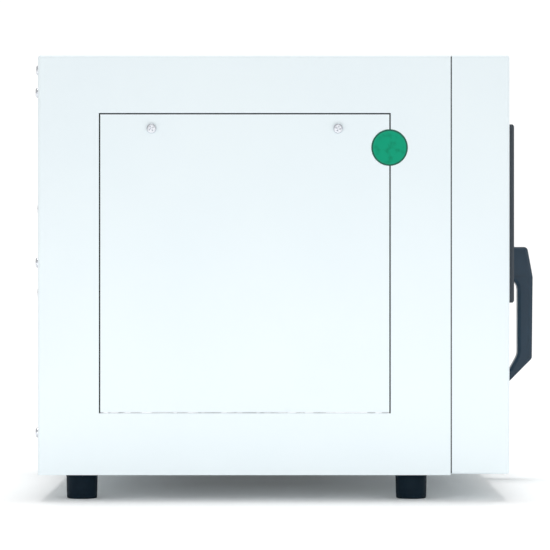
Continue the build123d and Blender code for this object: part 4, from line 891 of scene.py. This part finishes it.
# %% Seal
foil_thick = 0.7 * (seal_high.x - seal_low.x)
dip_width = 1.1 * MM
dip_depth = 0.16 * MM
ripple_height = 0.05 * MM
ripples_per_metre = 180.0
bm = bmesh.new()
bmesh.ops.create_circle(bm, cap_ends=False, segments=72, radius=seal_radius)
loop = bm.edges[:]
for share in (0.96, 0.88, 0.76, 0.62, 0.46, 0.30, 0.14):
    made = bmesh.ops.extrude_edge_only(bm, edges=loop)["geom"]
    fresh = points_of(made)
    for v in fresh:
        v.co *= share * seal_radius / v.co.length
    loop = [e for e in edges_of(made) if all(v in fresh for v in e.verts)]
bmesh.ops.contextual_create(bm, geom=loop)
bmesh.ops.recalc_face_normals(bm, faces=bm.faces)
move(bm, bm.verts, facing((seal_high.x, seal_centre.y, seal_centre.z), (-1, 0, 0)))
for v in bm.verts:
    across = (v.co.y - seal_centre.y) / dip_width
    ripple = ripple_height * noise.noise(Vector((v.co.y, v.co.z, 0.0)) * ripples_per_metre)
    v.co.x += dip_depth * exp(-across * across) + ripple
bmesh.ops.solidify(bm, geom=bm.faces[:], thickness=foil_thick)
bm.verts.ensure_lookup_table()
clear_of_skin = 0.03 * MM
lift = seal_low.x + clear_of_skin - min(v.co.x for v in bm.verts)
bmesh.ops.translate(bm, vec=(lift, 0, 0), verts=bm.verts)
show("inspection_seal", bm, "root", "seal_green", ["qc_seal"], smooth=40)

# %% [markdown]
# ## Rubber feet
# Each foot is a moulded rubber button: a flange against the case, a slight taper, a rounded sole
# with a recess for its screw, and a ring of shallow tread. It is turned on the lathe like the
# screws, from an outline in millimetres that starts and ends inside the screw hole. The four are
# stamped where the parts list has them.

# %% Feet
bm = bmesh.new()
foot_boxes = solids_of("rubber_feet")
foot_low, foot_high = foot_boxes[0]
foot_radius = (foot_high.x - foot_low.x) / 2
foot_height = foot_high.z - foot_low.z
wide = foot_radius / MM
tall = foot_height / MM
foot_profile = [
    (2.2, 14.0), (5.2, 14.0), (5.2, 0.6), (5.8, 0.0), (7.4, 0.0), (7.7, 0.45), (8.5, 0.45),
    (8.8, 0.0), (11.5, 0.0), (12.3, 0.22), (12.8, 0.75), (13.0, 1.6), (13.2, 8.0), (13.35, 17.0),
    (13.4, 19.0), (13.5, 19.35), (13.75, 19.45), (wide, 19.7), (wide, tall - 0.5),
    (wide - 0.5, tall), (2.2, tall), (2.2, 14.0),
]
turned(bm, [(r * MM, h * MM) for r, h in foot_profile], 48)
foot_pattern = kept(bm, "foot")
bm = bmesh.new()
for low, high in foot_boxes:
    middle = (low + high) / 2
    stamp(bm, foot_pattern, Matrix.Translation((middle.x, middle.y, low.z)))
show("moulded_feet", bm, "root", "black_rubber", ["rubber_feet"], smooth=30)

# %% [markdown]
# ## Cooling fan
# Behind the rear panel of the electrical bay sits a standard square fan. Its frame is a plain
# moulding and stays as it is. The rotor has seven thin blades. A blade rises as it goes round the
# hub, twists and rises a little less at the tip, and bulges in its middle, so each is a small grid
# that we bend and thicken. Outside, a guard of bent and welded wire keeps fingers away.

# %% Fan rotor
rotor_low, rotor_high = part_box("cooling_rotor")
rotor_centre = (rotor_low + rotor_high) / 2
rotor_depth = rotor_high.y - rotor_low.y
hub_radius = 18.0 * MM
tip_radius = 36.6 * MM
blade_root = hub_radius - 0.6 * MM
blade_count = 7
blade_thick = 1.1 * MM
shaft_hole = 2.1 * MM
hub_twist = 1.02
twist_lost = 0.10
sweep = 0.16
hub_rise = 16.0 * MM
rise_lost = 3.0 * MM
camber_height = 1.8 * MM
bm = bmesh.new()
hub_profile = [
    (shaft_hole, 0.0), (0.92 * hub_radius, 0.0), (hub_radius, 1.2 * MM),
    (hub_radius, rotor_depth - 2.4 * MM), (0.96 * hub_radius, rotor_depth - 1.0 * MM),
    (0.84 * hub_radius, rotor_depth - 0.2 * MM), (0.5 * hub_radius, rotor_depth),
    (0.46 * hub_radius, rotor_depth - 0.4 * MM), (shaft_hole, rotor_depth - 0.4 * MM),
    (shaft_hole, 0.0),
]
turned(bm, hub_profile, 40)
blade_bm = bmesh.new()
blade = bmesh.ops.create_grid(blade_bm, x_segments=8, y_segments=8, size=0.5)["verts"]
for v in blade:
    out_share = v.co.x + 0.5
    along_share = v.co.y
    radius = blade_root + (tip_radius - blade_root) * out_share
    turn = along_share * (hub_twist - twist_lost * out_share) - sweep * out_share * out_share
    camber = camber_height * (1 - 4 * along_share * along_share)
    rise = along_share * (hub_rise - rise_lost * out_share)
    height = rotor_depth / 2 - rise + camber
    v.co = (radius * cos(turn), radius * sin(turn), height)
bmesh.ops.recalc_face_normals(blade_bm, faces=blade_bm.faces)
bmesh.ops.solidify(blade_bm, geom=blade_bm.faces[:], thickness=blade_thick)
blade_pattern = kept(blade_bm, "blade")
for i in range(blade_count):
    stamp(bm, blade_pattern, Matrix.Rotation(tau * i / blade_count, 4, "Z"))
move(bm, bm.verts, facing((rotor_centre.x, rotor_low.y, rotor_centre.z), (0, 1, 0)))
show("fan_rotor", bm, "cooling_fan", "black_plastic", ["cooling_rotor"], smooth=40)

# %% Wire guard
guard_low, guard_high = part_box("fan_guard")
guard_centre = (guard_low + guard_high) / 2
bolt_spacing = 71.5 * MM
bolt_reach = bolt_spacing / 2 * 2 ** 0.5
guard_wire = 0.8 * MM
eye_radius = 3.6 * MM


def hoop(radius, steps, x=0.0, z=0.0):
    """Evenly spaced points round a circle that lies flat."""
    angles = [tau * k / steps for k in range(steps)]
    return [Vector((x + radius * cos(angle), radius * sin(angle), z)) for angle in angles]


bm = bmesh.new()
for ring, lift in ((9.0, 1.9), (18.0, 1.8), (27.0, 1.6), (36.0, 1.4)):
    wire(bm, hoop(ring * MM, 56, z=lift * MM), guard_wire, 8, closed=True)
for quarter in range(4):
    turn = Matrix.Rotation(pi / 4 + quarter * pi / 2, 4, "Z")
    leg = [(7.5, 0.9), (34.0, 0.7), (38.5, 0.6), (42.0, 0.6), (bolt_reach / MM - 4.4, 0.6)]
    wire(bm, [turn @ Vector((r * MM, 0, h * MM)) for r, h in leg], guard_wire, 8)
    eye = [turn @ point for point in hoop(eye_radius, 20, x=bolt_reach, z=guard_wire)]
    wire(bm, eye, guard_wire, 8, closed=True)
move(bm, bm.verts, facing((guard_centre.x, guard_low.y, guard_centre.z), (0, 1, 0)))
show("wire_guard", bm, "root", "wire_chrome", ["fan_guard"], smooth=50)

# %% [markdown]
# ## Tray
# The board to be soldered lies on a tray of straight wires, welded where they cross. The frame
# stays. The flat punched grid that stands in for the wires is replaced with round ones: one layer
# runs front to back, and the other lies across it, a little less than a wire's thickness higher,
# because a weld sinks one wire into the other.

# %% Tray wires
frame_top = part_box("tray_frame")[1].z
mesh_low, mesh_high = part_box("tray_mesh")
wire_radius = 0.8 * MM
wire_gap = 12.0 * MM
inset_edge = 2.5 * MM
z_first = frame_top + wire_radius
z_second = z_first + 1.8 * wire_radius


def rows(low, high):
    """Places for the wires across a width, as near to the wanted gap as divides it evenly."""
    width = high - low - 2 * inset_edge
    count = round(width / wire_gap)
    return [low + inset_edge + width * i / count for i in range(count + 1)]


bm = bmesh.new()
for x in rows(mesh_low.x, mesh_high.x):
    wire(bm, [(x, mesh_low.y, z_first), (x, mesh_high.y, z_first)], wire_radius, 8)
for y in rows(mesh_low.y, mesh_high.y):
    wire(bm, [(mesh_low.x, y, z_second), (mesh_high.x, y, z_second)], wire_radius, 8)
show("tray_wires", bm, "drawer", "wire_chrome", ["tray_mesh"], smooth=50)

# %% [markdown]
# ## Mouth gasket
# A knitted glass rope runs round the mouth of the chamber, and the drawer presses on it. The rope
# is one closed tube along a rounded rectangle. Every few millimetres it swells and pulls in again,
# which is the knit, and the fibre finish does the rest.

# %% Gasket rope
gasket_low, gasket_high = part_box("mouth_gasket")
rope_radius = (gasket_high.y - gasket_low.y) / 2
rope_inset = 3.0 * MM
bend = 9.0 * MM
knit = 3.4 * MM
x_span = (gasket_low.x + rope_inset, gasket_high.x - rope_inset)
z_span = (gasket_low.z + rope_inset, gasket_high.z - rope_inset)


def rounded_path(x_span, z_span, bend, step):
    """Evenly spaced points round a rectangle with rounded corners, as (x, z) pairs."""
    quarter = pi / 2
    sides = [x_span[1] - x_span[0] - 2 * bend, z_span[1] - z_span[0] - 2 * bend] * 2
    corners = [(x_span[1] - bend, z_span[0] + bend), (x_span[1] - bend, z_span[1] - bend),
               (x_span[0] + bend, z_span[1] - bend), (x_span[0] + bend, z_span[0] + bend)]
    points = []
    for k, (x, z) in enumerate(corners):
        heading = k * quarter
        x_start = x + bend * cos(heading - quarter) - sides[k] * cos(heading)
        z_start = z + bend * sin(heading - quarter) - sides[k] * sin(heading)
        straight = max(1, round(sides[k] / step))
        for i in range(straight):
            points.append((x_start + cos(heading) * sides[k] * i / straight,
                           z_start + sin(heading) * sides[k] * i / straight))
        arc = max(2, round(bend * quarter / step))
        for i in range(arc):
            angle = heading - quarter + quarter * i / arc
            points.append((x + bend * cos(angle), z + bend * sin(angle)))
    return points


bm = bmesh.new()
y_rope = (gasket_low.y + gasket_high.y) / 2
path = [(x, y_rope, z) for x, z in rounded_path(x_span, z_span, bend, knit / 2)]
rope_rings = wire(bm, path, rope_radius, 12, closed=True)
pulled_in = 0.9
for i, ring in enumerate(rope_rings):
    swell = 1.0 if i % 2 else pulled_in
    middle = Vector(path[i])
    for v in ring:
        v.co = middle + (v.co - middle) * swell
show("gasket_rope", bm, "root", "fibre_rope", ["mouth_gasket"], smooth=60)

# %% [markdown]
# ## Heaters
# Each heater is a quartz tube with a coil of resistance wire inside. The tube and its ceramic ends
# are already there. The coil is a helix, so it is a wire along points on a screw line. It is hung
# inside the tube and stops short of the ceramic ends.

# %% Heater coils
coil_radius = 2.9 * MM
coil_pitch = 3.2 * MM
coil_wire = 0.45 * MM
steps_per_turn = 9
tube_boxes = solids_of("heater_tubes")
tube_low, tube_high = tube_boxes[0]
bare_ends = 14 * MM
coil_length = tube_high.x - tube_low.x - bare_ends
coil_steps = int(coil_length / coil_pitch * steps_per_turn)
coil_path = []
for k in range(coil_steps + 1):
    angle = tau * k / steps_per_turn
    coil_path.append((coil_length * (k / coil_steps - 0.5), coil_radius * cos(angle),
                      coil_radius * sin(angle)))
bm = bmesh.new()
wire(bm, coil_path, coil_wire, 4)
coil_pattern = kept(bm, "coil")
bm = bmesh.new()
for low, high in tube_boxes:
    stamp(bm, coil_pattern, Matrix.Translation((low + high) / 2))
show("heater_coils", bm, "root", "heater_wire", smooth=60)

# %% [markdown]
# ## Control panel
# The display shows the thing a reflow oven is about: board temperature against time, with a ramp,
# a soak, a peak and the cooling. A dashed line is the limit, and the row of short bars above it
# stands for the readings. All of it is thin raised ink between the display and its lens. The four
# keys carry simple marks: three bars for the menu, an arrowhead up, an arrowhead down, and the
# start triangle. A mark sits a hair deep in its key and has its edges broken.

# %% Display ink
lens_low, lens_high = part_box("display_lens")
ink_gap = 0.12 * MM
y_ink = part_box("lcd_module")[0].y - ink_gap
x_screen = (lens_low.x + lens_high.x) / 2
z_screen = (lens_low.z + lens_high.z) / 2
graph_width = 60.0 * MM
graph_height = 30.0 * MM
graph_drop = 2.0 * MM


def ink_line(bm, points, width, thick=0.1 * MM):
    """A flat ribbon of ink along (x, z) points on the display, as one strip of quads made solid."""
    before = len(bm.faces)
    row = []
    for i, (x, z) in enumerate(points):
        x_next, z_next = points[min(i + 1, len(points) - 1)]
        x_last, z_last = points[max(i - 1, 0)]
        along = Vector((x_next - x_last, 0, z_next - z_last)).normalized()
        across = Vector((-along.z, 0, along.x)) * width / 2
        point = Vector((x, y_ink, z))
        row.append((bm.verts.new(point + across), bm.verts.new(point - across)))
    for (a, b), (c, d) in zip(row, row[1:]):
        bm.faces.new((a, b, d, c))
    bm.faces.ensure_lookup_table()
    fresh = bm.faces[before:]
    bmesh.ops.recalc_face_normals(bm, faces=fresh)
    bmesh.ops.solidify(bm, geom=fresh, thickness=thick)


def graph_point(time, heat):
    """A place on the graph from shares of its width and height."""
    return (x_screen + (time - 0.5) * graph_width, z_screen - graph_drop + (heat - 0.5) * graph_height)


# %% Curve, limit and grid
heating_curve = [(0.0, 0.06), (0.20, 0.42), (0.30, 0.50), (0.46, 0.58), (0.60, 0.90), (0.66, 0.95),
                 (0.72, 0.90), (0.84, 0.46), (1.0, 0.20)]
limit_heat = 0.78
fields_heat = 1.14
dash_count = 12
column_count = 6
row_count = 4
field_count = 5
curve_line = 0.9 * MM
dash_line = 0.4 * MM
field_line = 1.6 * MM
hairline = 0.25 * MM
bm = bmesh.new()
ink_line(bm, [graph_point(*p) for p in heating_curve], curve_line)
show("display_curve", bm, "root", "display_curve")

bm = bmesh.new()
for i in range(dash_count):
    dash = [graph_point(i / dash_count, limit_heat), graph_point((i + 0.6) / dash_count, limit_heat)]
    ink_line(bm, dash, dash_line)
show("display_limit", bm, "root", "display_limit")

bm = bmesh.new()
for i in range(column_count + 1):
    ink_line(bm, [graph_point(i / column_count, 0.0), graph_point(i / column_count, 1.0)], hairline)
for i in range(row_count + 1):
    ink_line(bm, [graph_point(0.0, i / row_count), graph_point(1.0, i / row_count)], hairline)
for i in range(field_count):
    start = 0.02 + 0.2 * i
    ink_line(bm, [graph_point(start, fields_heat), graph_point(start + 0.12, fields_heat)], field_line)
show("display_grid", bm, "root", "display_grid")


# %% Key marks
def raised_mark(bm, outline, thick=0.25 * MM):
    """A small raised print from a flat outline on the XY plane."""
    face = bm.faces.new([bm.verts.new((x * MM, y * MM, 0.0)) for x, y in outline])
    made = bmesh.ops.extrude_face_region(bm, geom=[face], use_keep_orig=True)["geom"]
    bmesh.ops.translate(bm, vec=(0, 0, thick), verts=points_of(made))


def bar(u, v, width, height):
    """The corners of a bar round a middle."""
    return [(u - width / 2, v - height / 2), (u + width / 2, v - height / 2),
            (u + width / 2, v + height / 2), (u - width / 2, v + height / 2)]


key_marks = {
    "key_menu": [bar(0, 2.2, 6.4, 1.1), bar(0, 0, 6.4, 1.1), bar(0, -2.2, 6.4, 1.1)],
    "key_up": [[(-3.2, -1.9), (3.2, -1.9), (0.0, 3.0)]],
    "key_down": [[(-3.2, 1.9), (0.0, -3.0), (3.2, 1.9)]],
    "key_start": [[(-2.2, -3.2), (3.2, 0.0), (-2.2, 3.2)]],
}
mark_sink = 0.05 * MM
key_bodies = {"key_menu": "menu_key", "key_up": "up_key", "key_down": "down_key",
              "key_start": "start_key"}
for key, outlines in key_marks.items():
    low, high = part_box(key)
    top = Matrix.Translation(((low.x + high.x) / 2, low.y + mark_sink, (low.z + high.z) / 2))
    bm = bmesh.new()
    for outline in outlines:
        raised_mark(bm, outline)
    move(bm, bm.verts, top @ Matrix.Rotation(pi / 2, 4, "X"))
    soften_edges(bm, bm.edges[:], 0.06 * MM)
    show(key + "_mark", bm, key_bodies[key], "printed_mark")

# %% [markdown]
# ## Mains inlet and switch
# The inlet has three blades, and the rocker carries the two usual marks, a bar for on and a ring
# for off. The rocker is tipped, so its marks are laid on its two sloping halves about its pin.

# %% Inlet blades
inlet_low, inlet_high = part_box("power_inlet")
x_inlet = (inlet_low.x + inlet_high.x) / 2
z_inlet = (inlet_low.z + inlet_high.z) / 2
socket_depth = 17.0 * MM
socket_floor = inlet_high.y - socket_depth
blade_size = (2.3 * MM, 15.4 * MM, 4.3 * MM)
blade_places = ((-7.0, -2.0), (0.0, 2.0), (7.0, -2.0))
bm = bmesh.new()
for u, v in blade_places:
    block(bm, blade_size, (x_inlet - u * MM, socket_floor + blade_size[1] / 2, z_inlet + v * MM))
soften_edges(bm, bm.edges[:], 0.5 * MM, segments=2)
show("inlet_blades", bm, "root", "inlet_brass")

# %% Rocker marks
rocker_low, rocker_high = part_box("rocker")
housing_low, housing_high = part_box("switch_housing")
tilt = radians(9.0)
slope = radians(9.9)
pin_depth = 5.0 * MM
mark_reach = 6.2 * MM
mark_height = 5.65 * MM
ring_radius = 2.3 * MM
ring_line = 0.45 * MM
ring_flatness = 0.45
pin = Vector(((rocker_low.x + rocker_high.x) / 2, housing_high.y - pin_depth,
              (housing_low.z + housing_high.z) / 2))
rocker_turn = Matrix.Translation(pin) @ Matrix.Rotation(-tilt, 4, "X")
for name, side_of in (("rocker_on_mark", 1), ("rocker_off_mark", -1)):
    bm = bmesh.new()
    if side_of > 0:
        raised_mark(bm, bar(0, 0, 1.1, 5.2))
    else:
        wire(bm, hoop(ring_radius, 28), ring_line, 6, closed=True)
        bmesh.ops.scale(bm, vec=(1, 1, ring_flatness), verts=bm.verts)
    face_out = Matrix.Rotation(-pi / 2, 4, "X")
    lean = Matrix.Rotation(-side_of * slope, 4, "X")
    seat = Matrix.Translation((0, mark_height, side_of * mark_reach))
    move(bm, bm.verts, rocker_turn @ seat @ lean @ face_out)
    show(name, bm, "switch_rocker", "printed_mark")

# %% [markdown]
